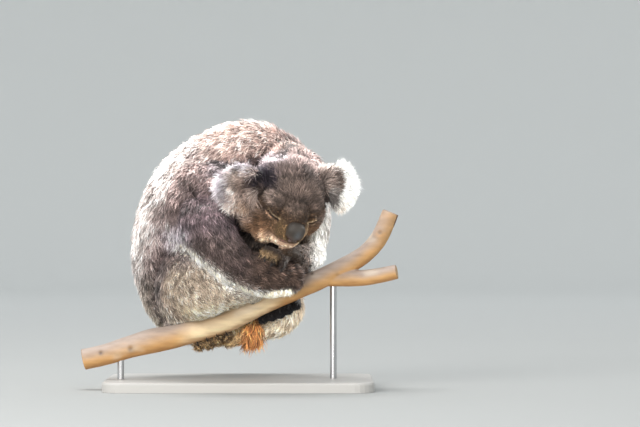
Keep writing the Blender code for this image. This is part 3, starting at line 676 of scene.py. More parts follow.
def coat_map(skin):
    """Colour, tuft length, width, stand-off and lie at every vertex of the skin."""
    co, normal = points_of(skin.data), normals_of(skin.data)
    names = list(PARTS)
    count = len(co)
    dist = np.empty((len(names), count))
    flow = np.zeros((count, 3))
    total = np.zeros(count)
    colour, length, width, stand = np.zeros((count, 3)), np.zeros(count), np.zeros(count), np.zeros(count)
    info = {}
    for k, name in enumerate(names):
        d, along, angle, way = PARTS[name]["shape"].field(co)
        dist[k] = d
        info[name] = (d, along, angle, way)
    nearest = dist.min(0)
    for k, name in enumerate(names):
        p = PARTS[name]
        small = {"coat_paws": 0.003, "coat_head": 0.005}.get(p["piece"], 0.005 if p["piece"].startswith("coat_ear") else 0.008)
        w = np.exp(-np.clip(dist[k] - nearest, 0, None) / small)
        w[w < 1e-3] = 0
        if name.startswith("ear_") and not name.startswith("ear_root"):
            middle, turn, side = EARS[name[4:]]
            q = (co - middle) @ turn
            radial = q.copy()
            radial[:, 0] = 0
            out = unit(radial) @ turn.T
            outward = HEAD @ np.array([0, side, 0.0])
            lie = unit(out * 0.70 + outward * 0.50 + DOWN * (0.25 if side > 0 else 0.65))
        elif p["flow"] is not None:
            way = info[name][3]
            lie = p["flow"](co, way)
        flow += lie * w[:, None]
        colour += p["colour"] * w[:, None]
        length += p["length"] * w
        width += p["width"] * w
        stand += p["stand"] * w
        total += w
    colour, length, width, stand = colour / total[:, None], length / total, width / total, stand / total
    label = np.array(names)[dist.argmin(0)]

    x, y, z = (co / CM).T
    h = in_head(co)
    part_of = np.char.partition(label.astype(str), "_")[:, 0]
    patchy = NOISE.rough(co, 0.020)
    fine = NOISE.rough(co + 3.3, 0.007)

    def tint(where, to, share):
        nonlocal colour
        colour = mix(colour, to, np.clip(share, 0, 1) * where)

    # --- trunk: brown-grey back, paler and mottled towards the rump, white inside the arms and below
    trunk = np.isin(part_of, ["spine", "chest", "shoulder", "neck"])
    spine = part_of == "spine"
    tint(spine, RUMP, smoothstep(25.5, 19.0, z + 1.6 * patchy) * 0.9)
    tint(spine * (y < 2.5), BACK_DARK, band(27.5, 33.5, 1.5, z + patchy) * band(-12.5, -8.0, 1.6, x + patchy) * 0.45)
    outer = np.isin(label, ["spine", "neck", "shoulder_left", "shoulder_right", "shoulder_fill"])
    # Painted sunlight: hair along the top of the back that faces up and back is painted pale, as if lit from behind.
    painted_sun_side = smoothstep(0.15, 0.7, normal[:, 2] * 0.8 - normal[:, 0] * 0.75)
    tint(outer, srgb(226, 217, 212), band(-3.5, 5.5, 2.0, y + 1.2 * patchy) * painted_sun_side * (0.62 + 0.5 * np.clip(fine + 0.5 * patchy, -0.6, 0.4)))
    tint(outer, srgb(112, 104, 98), smoothstep(6.0, 10.0, y + patchy) * 0.8)
    # Painted sunlight on the top of the neck behind the head.
    tint(trunk, srgb(186, 160, 150), band(-6.0, 7.5, 1.2, x + patchy) * smoothstep(38.5, 40.8, z + patchy) * smoothstep(3.0, 0.0, y) * 0.85)
    tint(trunk, CREAM, smoothstep(-0.10, -0.62, normal[:, 2]) * smoothstep(24, 18, z) * 0.8)
    # Painted shade: dark brown on the chest and far forearm between the chin and the far arm.
    tint(trunk | np.isin(label, ["arm_left", "forearm_left"]), srgb(86, 67, 54), smoothstep(4.0, 8.0, x) * smoothstep(34.0, 30.0, z) * smoothstep(13.4, 12.4, x + 0.4 * patchy) * smoothstep(8, 5, y) * 0.9)
    # Painted sunlight: white on the far shoulder and arm, as if lit from behind.
    far = trunk | np.isin(label, ["arm_left", "shoulder_left", "forearm_left"])
    tint(far, WHITE, smoothstep(12.4, 13.8, x + 0.5 * patchy) * smoothstep(37.5, 34.0, z + patchy) * smoothstep(10.0, 6.0, y + patchy) * 0.92)
    # Painted shade in the gap below the cheek, between the chin and the arm.
    throat_painted_shade = smoothstep(1.0, -1.5, y) * smoothstep(10.5, 8.5, x) * smoothstep(-3.0, 0.0, x) * band(24.0, 34.0, 1.0, z)
    tint(trunk, BACK_DARK * 0.45, throat_painted_shade * 0.9)
    tint(part_of == "chest", srgb(128, 116, 106), smoothstep(5.0, 9.0, y + patchy) * 0.85)
    crease_d, _ = side_line_distance(co, CREASE)
    near_side = smoothstep(2.5, -1.0, y)
    # Painted shade: dark in the crease between the thigh and the flank.
    tint(np.isin(part_of, ["spine", "thigh", "chest"]), BACK_DARK * 0.45, np.exp(-(crease_d / 1.2) ** 2) * near_side * 0.93)
    length = length * (1 - 0.55 * np.exp(-(crease_d / 1.0) ** 2) * near_side * trunk)
    # Painted shade: the back darkens more widely towards the crease.
    tint(spine, BACK_DARK, np.exp(-(crease_d / 2.2) ** 2) * near_side * 0.35)
    fold_d, _ = side_line_distance(co, ARM_FOLD)
    # Painted shade in the fold where the arm meets the shoulder.
    tint(1.0, BACK_DARK * 0.40, np.exp(-(fold_d / 1.1) ** 2) * smoothstep(0, -3, y) * 0.92)

    # --- thigh: speckled beige-grey, greyer above, cream towards the branch
    thigh = label == "thigh_right"
    tint(thigh, srgb(124, 112, 116), smoothstep(21.0, 24.5, z + patchy) * 0.8)
    tint(thigh, srgb(255, 232, 198), smoothstep(17.4, 14.8, z + 0.9 * patchy) * smoothstep(-12.5, -8.5, x) * 0.95)

    tint(thigh, srgb(84, 72, 72), smoothstep(0.30, 0.55, NOISE.rough(co * np.array([1.0, 1, 0.6]) + 12, 0.009, 2)) * 0.6)

    # --- right arm: dark, greyer towards the shoulder, with a cream fringe along its hind and lower edge
    tint(np.isin(label, ["arm_right", "shoulder_right"]), ARM_UPPER, smoothstep(26.0, 31.0, z + patchy) * 0.8)
    tint(label == "shoulder_right", BACK, smoothstep(34.0, 37.5, z + patchy) * 0.8)
    tint(1.0, srgb(74, 60, 60), np.exp(-(((x + 8.6) / 2.6) ** 2 + ((z - 33.2) / 1.9) ** 2)) * smoothstep(0.0, -2.0, y) * 0.8)
    tint(label == "forearm_right", srgb(92, 73, 62), 0.7 * smoothstep(0, 3, x))
    fringe_d, fringe_s = side_line_distance(co, [(a + 0.65, b + 0.85) for a, b in FRINGE])
    arm = np.isin(label, ["arm_right", "forearm_right", "thigh_right", "spine", "shoulder_right", "shank_right"])
    fringe = np.exp(-(fringe_d / 0.75) ** 2) * smoothstep(0.5, -2.5, y) * arm
    tint(1.0, WHITE, fringe * 0.95)
    lilac = np.exp(-((x + 11.2) ** 2 + (z - 28.2) ** 2) / 3.2) * (y < 1)
    tint(1.0, LILAC, lilac * 0.75)

    # --- head
    head = part_of == "skull"
    rooted = np.char.startswith(label.astype(str), "ear_root")
    head = head | rooted
    f, l, u = h.T
    away = np.sqrt((f - 8.4) ** 2 + l ** 2 + (u + 0.4) ** 2)
    crown = smoothstep(36.5, 40.0, z + 0.5 * patchy) * smoothstep(4.5, 1.0, f)
    tint(head, mix(BACK, FOREHEAD, 0.35), crown * 0.85)
    length = np.where(head, length + 0.7 * CM * crown, length)
    stand = np.where(head, stand + 0.12 * crown, stand)
    tint(head, BROW, smoothstep(1.5, 4.5, f) * smoothstep(3.2, 1.8, u + 0.5 * patchy) * smoothstep(0.2, 1.0, u) * 0.85)
    tan = smoothstep(5.6, 3.6, away + 0.4 * fine) * smoothstep(1.4 - 0.6 * (np.abs(l) < 1.4), 0.2, u)
    tint(head, MUZZLE, tan * 0.9)
    tint(head, CHEEK, smoothstep(0.8, -2.0, u + 0.4 * patchy) * smoothstep(-2.0, 0.5, f) * smoothstep(2.6, 4.2, away) * 0.9)
    tint(head, srgb(146, 118, 94), smoothstep(-3.0, -5.2, u - 0.25 * f + 1.2) * smoothstep(-1.0, 1.5, f) * (l < 0) * 0.6)
    near_ear = head & (l < 0)
    tint(near_ear, srgb(176, 158, 150), smoothstep(5.2, 7.4, -l + 0.5 * fine) * smoothstep(3.6, 0.4, u) * 0.75)
    tint(near_ear, EAR_TAN, smoothstep(5.6, 7.2, -l + 0.4 * fine) * band(0.8, 3.4, 0.8, u) * 0.6)
    chin = smoothstep(-2.55, -3.2, u) * smoothstep(5.4, 6.8, f)
    tint(head, CHIN, chin * 0.9)
    lip = np.exp(-((u + 2.75) / 0.36) ** 2) * smoothstep(6.6, 7.6, f) * smoothstep(2.2, 1.3, np.abs(l))
    tint(head, SKIN_PINK, lip * 0.9)
    # Painted shade under the jaw and the chin.
    throat = smoothstep(-3.6, -5.2, u) * smoothstep(4.5, 2.5, f) * smoothstep(-2.6, -1.0, l)
    tint(head, srgb(92, 72, 56), throat * 0.8)
    # Painted shade: a dark band under the chin, over the hand and the chest below it.
    tint(smoothstep(25.55, 25.0, z) * (y < -4.0) * band(4.6, 13.0, 0.6, x) * (head | (label == "palm_hand_left") | trunk), srgb(80, 62, 48), 0.95)
    # painted sunlight: pale hair on the crown by the near ear; painted shade: the dark patch beneath it
    front = smoothstep(1.5, -0.5, y)
    tint(rooted & (l < 0), WHITE, smoothstep(38.6, 39.8, z + 0.6 * fine) * 0.85)
    tint(rooted & (l < 0), EAR_TAN, band(34.0, 37.8, 0.5, z + 0.5 * fine) * 0.8)
    tint(head, BROW * 0.6, np.exp(-(((x - 3.5) / 0.5) ** 2 + ((z - 34.8) / 0.9) ** 2)) * front * 0.85)
    bald = np.zeros(count)
    for side, (r, sx, sy, cg) in zip(GAZE, slit_place(h)):
        lid = (r < 1.6) & (cg > 0.05)
        tint(lid, srgb(150, 118, 92), np.exp(-((sy + 0.42) / 0.26) ** 2) * (np.abs(sx) < 1.1) * 0.8)      # lower lid
        tint(lid, srgb(214, 184, 148), np.exp(-((sy - 0.26) / 0.10) ** 2) * band(-1.25, 1.05, 0.1, sx) * 0.9)
        # Dark rim round the slit: partly the lids' own dark edge, partly painted shade of the lashes.
        tint(lid, srgb(40, 27, 24), np.exp(-(sy / 0.15) ** 4) * (np.abs(sx) < 1.0) * 0.95)
        bald = np.maximum(bald, ((np.abs(sy) < 0.34) & (np.abs(sx) < 1.1) & lid).astype(float))
        length = length * (1 - 0.60 * np.exp(-(r / 1.7) ** 2) * (cg > -0.2))
    # Painted highlight: pale tan on the far side of the muzzle beside the nose.
    tint(head, srgb(232, 190, 144), smoothstep(1.0, 2.2, l) * smoothstep(0.8, -0.4, u) * smoothstep(5.8, 7.0, f) * 0.6)
    # pale edges of the far brow and cheek
    for line, strength in (([(6.2, 2.6, 1.9), (7.0, 3.6, 0.9), (6.4, 4.7, 1.2)], 0.6), ([(8.1, 2.5, -0.4), (7.4, 3.3, -1.6), (7.2, 2.6, -2.8)], 0.7)):
        near_line = groove(h, line, 1.0, 0.30, False)
        tint(head, srgb(214, 178, 136), near_line * strength)
    nose_gap = np.sqrt((l / 1.74) ** 2 + ((u + 0.29) / 1.95) ** 2)
    bald = np.maximum(bald, ((nose_gap < 1.02) & (f > 7.2)).astype(float))
    bald = np.maximum(bald, lip > 0.45)
    mouth = groove(h, MOUTH, 1.0, 0.16)
    tint(head, srgb(58, 36, 32), smoothstep(0.45, 0.9, mouth) * (f > 4.5) * 0.85)
    bald = np.maximum(bald, (mouth > 0.55) & head)
    short = smoothstep(6.8, 2.2, away)
    length = np.where(head, np.maximum(length * (1 - 0.52 * short), 0.32 * CM), length)
    width = np.where(head, width * (1 - 0.16 * short), width)
    stand = np.where(head, stand * (1 - 0.35 * short), stand)

    # --- ears: tan within the near one, dark beside the head in the far one, white hair round both rims
    for name in ("left", "right"):
        middle, turn, side = EARS[name]
        q = (co - middle) @ turn / CM
        this = label == f"ear_{name}"
        radius = np.hypot(q[:, 1], q[:, 2])
        behind = smoothstep(0.15, -0.35, q[:, 0] - 0.85 * (radius / 3.4) ** 2 + 0.3)
        out = side * l
        dark_patch = np.exp(-((((x - 16.1) / 1.05) ** 2 + ((z - 35.0 + 0.4 * fine) / 2.5) ** 2) ** 1.5))
        low_tan = np.exp(-(((x - 17.4) / 1.0) ** 2 + ((z - 32.6) / 0.8) ** 2))
        if side > 0:
            c = mix(np.tile(WHITE, (count, 1)), srgb(46, 35, 33), dark_patch * 0.95)
            c = mix(c, srgb(160, 128, 102), low_tan * 0.7)
            tint(rooted & (l > 0), WHITE, smoothstep(37.8, 39.4, z) * 0.8)
            tint(rooted & (l > 0), srgb(46, 35, 33), dark_patch * 0.9)
        else:
            c = mix(EAR_IN, LILAC, smoothstep(10.6, 12.2, out + 0.4 * fine) * 0.9)
            c = mix(c, WHITE, smoothstep(38.2, 39.6, z + 0.6 * fine) * 0.85)
            c = mix(c, EAR_TAN, np.exp(-((((x - 1.6) / 2.2) ** 2 + ((z - 36.2) / 2.3) ** 2) ** 1.5)) * 0.95)
            c = mix(c, srgb(196, 180, 168), smoothstep(34.0, 32.0, z + 0.5 * fine) * 0.7)
            c = mix(c, srgb(112, 84, 60), band(0.4, 7.0, 0.6, x + 0.3 * (z - 33)) * smoothstep(34.8, 33.4, z + 0.5 * fine) * 0.85)
        c = mix(c, BACK, behind * 0.6 * smoothstep(3.3, 2.2, radius) * (side < 0))
        colour = np.where(this[:, None], c, colour)
        hang = smoothstep(-0.5, -2.5, q[:, 2]) * (side > 0)
        length = np.where(this, (1.4 + (1.35 - 0.9 * hang) * smoothstep(1.2, 3.2, radius) - 0.7 * behind) * CM, length)
        stand = np.where(this, 0.32, stand)

    # Painted sunlight and shade: pale sunlit locks with dark shade in the gaps between them run over the crown from the
    # near ear; a painted blue-black shadow lies under them.
    crown_face = smoothstep(2.5, 0.5, y)
    capped = (head | (label == "ear_right") | trunk) * crown_face
    _, lock_own = locks(co + 0.5, 0.0135, 21)
    crown_sun_and_gap_shade = capped * band(-4.8, 9.2, 0.7, x + 0.5 * fine) * band(38.6, 41.8, 0.6, z + 0.6 * fine - 0.10 * (x - 2))
    sunlit_lock = mix(np.tile(srgb(186, 172, 176), (count, 1)), srgb(238, 230, 240), (label == "ear_right") * 1.0)
    tint(crown_sun_and_gap_shade, mix(np.array([srgb(26, 20, 30)]), sunlit_lock, smoothstep(-0.10, 0.15, lock_own + 0.75 * (label == "ear_right"))), 0.85)
    length = length * (1 - 0.45 * crown_sun_and_gap_shade)
    tint(head | (part_of == "neck"), mix(np.array([srgb(64, 48, 42)]), np.array([srgb(126, 104, 95)]), smoothstep(-0.3, 0.3, lock_own)), smoothstep(41.4, 42.4, z + 0.6 * fine) * smoothstep(9.0, 6.0, y) * 0.9)
    blue = (head | (label == "ear_right")) * crown_face
    # Painted shadow: the blue-black patch on the crown under the sunlit locks.
    tint(blue, srgb(32, 26, 38), band(3.3, 7.6, 0.8, x + 0.7 * fine - 0.5 * (z - 37.5) * (x < 5)) * band(35.8, 39.4, 0.7, z + 0.5 * fine + 0.25 * (x - 4)) * 0.96)

    tint(rooted & (l < 0), srgb(104, 78, 56), band(0.4, 8.0, 0.6, x) * smoothstep(34.6, 33.2, z + 0.5 * fine) * 0.8)
    # --- left leg and belly below the branch: cream to the right, mottled brown to the left
    leg = np.isin(label, ["thigh_left", "shank_left", "palm_foot_left"])
    below = (leg | trunk) * smoothstep(0.5, -0.5, z - (13.4 + 0.42 * x))
    tint(below, UNDER, smoothstep(4.6, 1.5, x + 0.6 * patchy) * 0.95)
    tint(leg, srgb(236, 214, 186), smoothstep(3.0, 5.4, x + 0.6 * patchy) * 0.8)
    tint(np.isin(label, ["thigh_left", "shank_left"]), srgb(128, 116, 106), np.maximum(smoothstep(0.1, 0.7, normal[:, 1] + 0.1 * patchy), smoothstep(14.5, 17.5, z + patchy)) * 0.85)
    tint(np.isin(label, ["arm_left"]), srgb(112, 96, 92), smoothstep(0.0, 0.6, normal[:, 1] + 0.1 * patchy) * 0.85)
    tint(below, BLACK, smoothstep(0.12, 0.42, NOISE.rough(co * np.array([1.6, 1, 0.8]) + 6, 0.011, 2)) * smoothstep(2.0, 0.0, x) * 0.75)
    tint(below, RUST, band(0.6, 4.2, 0.5, x + 0.4 * fine) * smoothstep(13.4, 12.0, z) * smoothstep(4.0, 1.0, y - 4) * 0.9)
    rust = band(1.1, 3.6, 0.5, x) * smoothstep(12.6, 11.4, z) * (normal[:, 1] < 0.35) * (leg | trunk)

    # --- paws: black digits; the tucked hand brown, its near edge tan
    tint(1.0 * (part_of == "digit"), BLACK, ~np.char.startswith(label.astype(str), "digit_foot_left") * ~np.char.startswith(label.astype(str), "digit_hand_left") * 1.0)
    hand = np.isin(label, ["palm_hand_left"]) | np.char.startswith(label.astype(str), "digit_hand_left")
    strip_d, _ = side_line_distance(co, [(3.0, 25.4), (6.9, 23.7)])
    tint(hand, srgb(184, 152, 112), np.exp(-(strip_d / 0.5) ** 2) * 0.85)

    mottle = 1 + 0.14 * patchy + 0.10 * fine
    colour = np.clip(colour * mottle[:, None], 0, 0.97)

    # Hair just above the branch stops at its top edge instead of hanging over it.
    top = np.interp(x, BRANCH_LINE[:, 0], BRANCH_LINE[:, 2] + BRANCH_LINE[:, 3])
    above = (z - top + 0.45) * (y < -1.5)
    near_branch = (above > -2.0) & (above < 3.0) & (y < -1.5) & (x < 9.5) & ~np.char.startswith(label.astype(str), "skull")
    length = np.where(near_branch, np.clip(length, 0, np.maximum(above * 1.15, 0.30) * CM), length)

    flow = unit(flow - normal * (flow * normal).sum(1)[:, None] * 0.92)
    flow = unit(flow + 0.30 * np.column_stack([NOISE.at(co + 1, 0.016), NOISE.at(co + 2, 0.016), NOISE.at(co + 5, 0.016)]))
    flow = unit(flow - normal * (flow * normal).sum(1)[:, None])
    arm_only = np.isin(label, ["arm_right", "forearm_right"])
    edge = smoothstep(0.38, 0.80, np.exp(-(fringe_d / 1.15) ** 2)) * smoothstep(0.0, -2.0, y) * (arm_only | thigh | spine)
    return dict(co=co, normal=normal, colour=colour, length=length, width=width, stand=stand, flow=flow, label=label,
                bald=bald, info=info, fringe=edge, rust=rust)


# ------------------------------------------------------------------ tufts
def keep_off_branch(p, gap=0.0004):
    """Moves points that are inside the branch out to its bark."""
    for line in (BRANCH, FORK):
        rows = through(line, 4)
        c, r = rows[:, :3] * CM, rows[:, 3] * CM
        best = np.full(len(p), 1e9)
        at, size = np.zeros_like(p), np.zeros(len(p))
        for i in range(len(c) - 1):
            seg = c[i + 1] - c[i]
            t = np.clip((p - c[i]) @ seg / (seg @ seg), 0, 1)
            q = c[i] + t[:, None] * seg
            d = np.linalg.norm(p - q, axis=1)
            less = d < best
            best[less], at[less], size[less] = d[less], q[less], (r[i] * (1 - t) + r[i + 1] * t)[less]
        inside = best < size + gap
        p[inside] = at[inside] + unit(p[inside] - at[inside]) * (size[inside] + gap)[:, None]
    return p


def locks(p, size, seed):
    """The way from each point to the middle of the lock of hair it belongs to, and a number that is the lock's own."""
    rng = np.random.default_rng(seed)
    table, own_table = rng.uniform(0, 1, (4096, 3)), rng.uniform(-1, 1, 4096)
    base = np.floor(p / size).astype(np.int64)
    best, to, own = np.full(len(p), 1e9), np.zeros_like(p), np.zeros(len(p))
    for dx in (-1, 0, 1):
        for dy in (-1, 0, 1):
            for dz in (-1, 0, 1):
                cell = base + np.array([dx, dy, dz])
                key = (cell[:, 0] * 73856093 ^ cell[:, 1] * 19349663 ^ cell[:, 2] * 83492791) % 4096
                way = (cell + table[key]) * size - p
                d = (way ** 2).sum(1)
                less = d < best
                best[less], to[less], own[less] = d[less], way[less], own_table[key[less]]
    return to, own


def grow(name, root, normal, flow, length, width, stand, colour, uv, to, rng, segments=3, droop=0.25, curl=0.30, roll=0.8,
         tip=1.65, foot=0.28, swing=0.42, clump=0.72, loose=0.0):
    """One joined mesh of thin tapering tufts; each has its own small patch of the OFBake map."""
    n = len(root)
    lift = np.clip(stand + rng.normal(0, 0.15, n), 0.05, 1.2)
    astray = np.random.default_rng(n).random(n) < loose       # a few hairs stand clear of the coat
    lift = np.where(astray, lift + 0.55, lift)
    across = unit(np.cross(flow, normal))
    d = unit(flow * (1 - 0.35 * lift[:, None]) + normal * lift[:, None] + across * rng.normal(0, swing, n)[:, None])
    rows = [root - normal * 0.0006]
    here = rows[0]
    turn = rng.normal(0, curl, (n, 1))
    for k in range(segments):
        here = here + d * (length / segments)[:, None]
        rows.append(here)
        d = unit(d + flow * 0.25 - normal * (0.30 * lift[:, None]) + DOWN * droop * (k + 1) / segments * 0.5
                 + across * turn)
    rows = np.array(rows)                                    # segments+1, n, 3
    # Neighbours lean together at their tips, in locks.
    to = to - normal * (to * normal).sum(1)[:, None]
    reach = np.minimum(1.0, 0.45 * length / np.maximum(np.linalg.norm(to, axis=1), 1e-6))[:, None]
    for k in range(1, segments + 1):
        rows[k] += to * reach * clump * (k / segments) ** 1.4
    shape = np.interp(np.linspace(0, 1, segments + 1)[:-1], [0, 0.35, 1.0], [0.75, 1.0, 0.30])
    angle = rng.uniform(-roll, roll, n)[:, None]
    face = unit(normal * np.cos(angle) + across * np.sin(angle))
    per = 2 * segments + 1
    verts = np.empty((n, per, 3))
    cols = np.empty((n, per, 3))
    uvs = np.empty((n, per, 2))
    shade = np.linspace(foot, tip, segments + 1)
    pale = np.exp(rng.normal(0, 0.22, n))[:, None]            # some hairs have paler tips than others
    for k in range(segments):
        w = unit(np.cross(rows[k + 1] - rows[k], face)) * (width * shape[k] / 2)[:, None]
        verts[:, 2 * k] = rows[k] - w
        verts[:, 2 * k + 1] = rows[k] + w
        cols[:, 2 * k] = cols[:, 2 * k + 1] = colour * shade[k] * pale ** (k / segments)
        v = (k / segments - 0.5) * 0.003
        uvs[:, 2 * k] = uv + np.array([-0.0015 * shape[k], v])
        uvs[:, 2 * k + 1] = uv + np.array([0.0015 * shape[k], v])
    verts[:, -1] = rows[-1]
    cols[:, -1] = colour * shade[-1] * pale
    uvs[:, -1] = uv + np.array([0, 0.0015])
    flat = keep_off_branch(verts.reshape(-1, 3))
    flat[:, 2] = np.maximum(flat[:, 2], 0.03)
    over = np.clip(-0.156 - flat[:, 1], 0, None)              # no hair stands further forward than this
    flat[:, 1] += over - 0.006 * np.tanh(over / 0.006)
    tris = []
    for k in range(segments - 1):
        a, b, c, e = 2 * k, 2 * k + 1, 2 * k + 2, 2 * k + 3
        tris += [(a, b, e), (a, e, c)]
    tris.append((2 * segments - 2, 2 * segments - 1, 2 * segments))
    tris = np.array(tris)
    loops = (np.arange(n)[:, None, None] * per + tris[None]).reshape(-1)
    mesh = bpy.data.meshes.new(name)
    mesh.vertices.add(n * per)
    mesh.vertices.foreach_set("co", flat.astype(np.float32).ravel())
    faces = len(loops) // 3
    mesh.loops.add(len(loops))
    mesh.loops.foreach_set("vertex_index", loops.astype(np.int32))
    mesh.polygons.add(faces)
    mesh.polygons.foreach_set("loop_start", np.arange(0, faces * 3, 3, dtype=np.int32))
    mesh.polygons.foreach_set("loop_total", np.full(faces, 3, dtype=np.int32))
    mesh.polygons.foreach_set("use_smooth", np.ones(faces, dtype=bool))
    mesh.update(calc_edges=True)
    layer = mesh.uv_layers.new(name="OFBake")
    layer.data.foreach_set("uv", np.clip(uvs.reshape(-1, 2)[loops], 0, 1).astype(np.float32).ravel())
    paint(mesh, np.clip(cols.reshape(-1, 3), 0, 0.98))
    obj = bpy.data.objects.new(name, mesh)
    bpy.context.scene.collection.objects.link(obj)
    return obj


def fill_square(uv):
    """Spreads map places over the unit square, a little inside its edges."""
    low, high = np.percentile(uv, 0.2, axis=0), np.percentile(uv, 99.8, axis=0)
    return np.clip(0.004 + 0.992 * (uv - low) / np.maximum(high - low, 1e-9), 0.003, 0.997)


def exposure(skin, map_):
    """How open each vertex of the skin is: the share of short rays that leave the body."""
    dg = bpy.context.evaluated_depsgraph_get()
    tree = BVHTree.FromObject(skin, dg)
    co, normal = map_["co"], map_["normal"]
    rng = np.random.default_rng(5)
    free = np.ones(len(co))
    tests = 4
    picks = np.arange(0, len(co))
    for k in range(tests):
        d = unit(normal + 0.75 * rng.normal(size=normal.shape))
        d = np.where((d * normal).sum(1)[:, None] < 0.25, normal, d)
        start = co + normal * 0.0015
        for i in picks:
            if tree.ray_cast(start[i], d[i], 0.035)[0] is not None:
                free[i] -= 1 / tests
    return np.clip(free, 0, 1)


def region_uv(piece, roots, labels, info_for):
    """A map place for each root, on an unwrap of the part it grows from."""
    uv = np.zeros((len(roots), 2))
    for name in np.unique(labels):
        here = labels == name
        d, along, angle, way = PARTS[name]["shape"].field(roots[here])
        uv[here] = np.column_stack([along, angle / (2 * math.pi) + 0.5])
    return uv


# piece: tufts, lock size mm, how strongly its colour is mottled lock by lock
COATS = {"coat_back_right": (34000, 8.5, 1.4), "coat_back_left": (25000, 9.0, 1.0), "coat_flank_right": (33000, 8.0, 1.4),
         "coat_flank_left": (24000, 9.0, 1.0), "coat_head": (30000, 6.0, 1.6), "coat_face": (32000, 3.6, 1.15),
         "coat_ear_right": (12000, 7.0, 1.0), "coat_ear_left": (10000, 7.0, 0.7), "coat_arm_right": (29000, 7.0, 1.5),
         "coat_thigh_right": (24000, 6.0, 1.3), "coat_leg_left": (21000, 8.0, 0.8), "coat_paws": (13000, 4.0, 0.6),
         "coat_fringe": (7500, 7.0, 0.4), "coat_rust": (1000, 7.0, 1.2)}


def main():
    skin = build_skin()
    sculpt(skin)
    print("skin triangles", len(skin.data.polygons))
    coat = coat_map(skin)
    paint(skin.data, coat["colour"] * 0.55)
    open_ = exposure(skin, coat)

    mesh = skin.data
    tri = np.empty(len(mesh.polygons) * 3, np.int32)
    mesh.polygons.foreach_get("vertices", tri)
    tri = tri.reshape(-1, 3)
    co, normal = coat["co"], coat["normal"]
    a, b, c = co[tri[:, 0]], co[tri[:, 1]], co[tri[:, 2]]
    area = np.linalg.norm(np.cross(b - a, c - a), axis=1) / 2
    label = coat["label"][tri[:, 0]]
    piece_of_part = {name: p["piece"] for name, p in PARTS.items()}
    piece = np.array([piece_of_part[n] for n in label])
    centre = (a + b + c) / 3
    # The trunk's coat is cut into lengths, so that no piece is too big.
    along = PARTS["spine"]["shape"].field(centre)[1]
    trunk = piece == "coat_trunk"
    near = centre[:, 1] < 0.030
    piece = np.where(trunk & (along > 0.62), np.where(near, "coat_back_right", "coat_back_left"), piece)
    piece = np.where(trunk & (along <= 0.62), np.where(near, "coat_flank_right", "coat_flank_left"), piece)
    h = in_head(centre)
    piece = np.where((piece == "coat_head") & (h[:, 0] > 2.6), "coat_face", piece)
    made = []
    for seed, (name, (count, cell, mottled)) in enumerate(COATS.items()):
        rng = np.random.default_rng(100 + seed)
        count = int(count * (1.0))
        openness = open_[tri].mean(1)
        weight = area * smoothstep(0.02, 0.35, openness) * (1 - coat["bald"][tri].mean(1))
        if name == "coat_face":
            weight = weight * (1 + 2.2 * smoothstep(6.0, 3.0, np.linalg.norm(h - np.array([7.8, 0, -0.8]), axis=1)))
        weight = weight * (coat[name[5:]][tri].mean(1) if name[5:] in ("fringe", "rust") else piece == name)
        here = np.flatnonzero(weight > 0)
        total = np.cumsum(weight[here])
        pick = here[np.clip(np.searchsorted(total, (np.arange(count) + rng.random(count)) / count * total[-1]), 0, len(here) - 1)]
        r1, r2 = np.sqrt(rng.random(count)), rng.random(count)
        bary = np.column_stack([1 - r1, r1 * (1 - r2), r1 * r2])

        def at(values):
            v = values[tri[pick]]
            return (v * bary[..., None]).sum(1) if v.ndim == 3 else (v * bary).sum(1)
        root, nrm, lie = at(co), unit(at(normal)), unit(at(coat["flow"]))
        length, width, stand, colour = at(coat["length"]), at(coat["width"]), at(coat["stand"]), at(coat["colour"])
        more = {}
        if name == "coat_fringe":
            length = np.full(count, 0.0140)
            width, stand, more = width * 0.95, stand + 0.12, {"foot": 1.0, "tip": 1.3, "clump": 0.70}
            colour = mix(colour, srgb(255, 238, 210), 0.97)
            lie = unit(lie * 0.6 + np.array([-0.35, -0.25, -0.8]))
            lie = unit(lie - nrm * (lie * nrm).sum(1)[:, None])
        if name in ("coat_back_right", "coat_back_left", "coat_flank_right"):
            more = {"loose": 0.07}
        if "ear" in name:
            more = {"foot": 0.66, "tip": 1.30}
        if name == "coat_rust":
            length, width, stand = np.full(count, 0.030), np.full(count, 0.0015), np.full(count, 0.7)
            colour = mix(np.tile(RUST, (count, 1)), srgb(120, 72, 44), (rng.random(count) < 0.3) * 0.8)
            lie = unit(np.tile([-0.15, -0.25, -1.0], (count, 1)) + rng.normal(0, 0.26, (count, 3)))
            length = length * rng.uniform(0.6, 1.15, count)
            lie = unit(lie - nrm * (lie * nrm).sum(1)[:, None] * 0.6)
            more = {"droop": 0.9, "clump": 0.85, "foot": 0.45, "tip": 1.25, "swing": 0.25}
        length = length * rng.uniform(0.65, 1.2, count) * (0.45 + 0.55 * smoothstep(0.1, 0.8, at(open_)))
        width = width * rng.uniform(0.7, 1.3, count) * 1.0
        to, own = locks(root, cell / 1000, 3)
        broad = locks(root, 2.3 * cell / 1000, 4)[1]
        speck = NOISE.rough(root + 9.0, 0.0055, 2)
        apart = np.linalg.norm(to, axis=1) / (cell / 1000)
        # Lock by lock the colour is mottled, and tufts towards the edge of their lock are darker: painted shade in the
        # gaps between locks.
        light = mottled * (0.50 * own + 0.20 * broad + 0.55 * speck - 0.9 * (apart - 0.42)) + rng.normal(0, 0.26, count)
        colour = colour * np.exp(light)[:, None]
        labels = coat["label"][tri[pick, 0]]
        uv = fill_square(region_uv(name, root, labels, coat["info"]))
        obj = grow(name, root, nrm, lie, length, width, stand, colour, uv, to, rng, **more)
        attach(obj, "root")
        made.append(obj)
        print(name, count, "tufts", round(total[-1] * 1e4), "cm2")
    return skin, made


skin, coats = main()


# ------------------------------------------------------------------ materials
def nodes_of(mat):
    mat.use_nodes = True
    tree = mat.node_tree
    return tree, tree.nodes["Principled BSDF"]


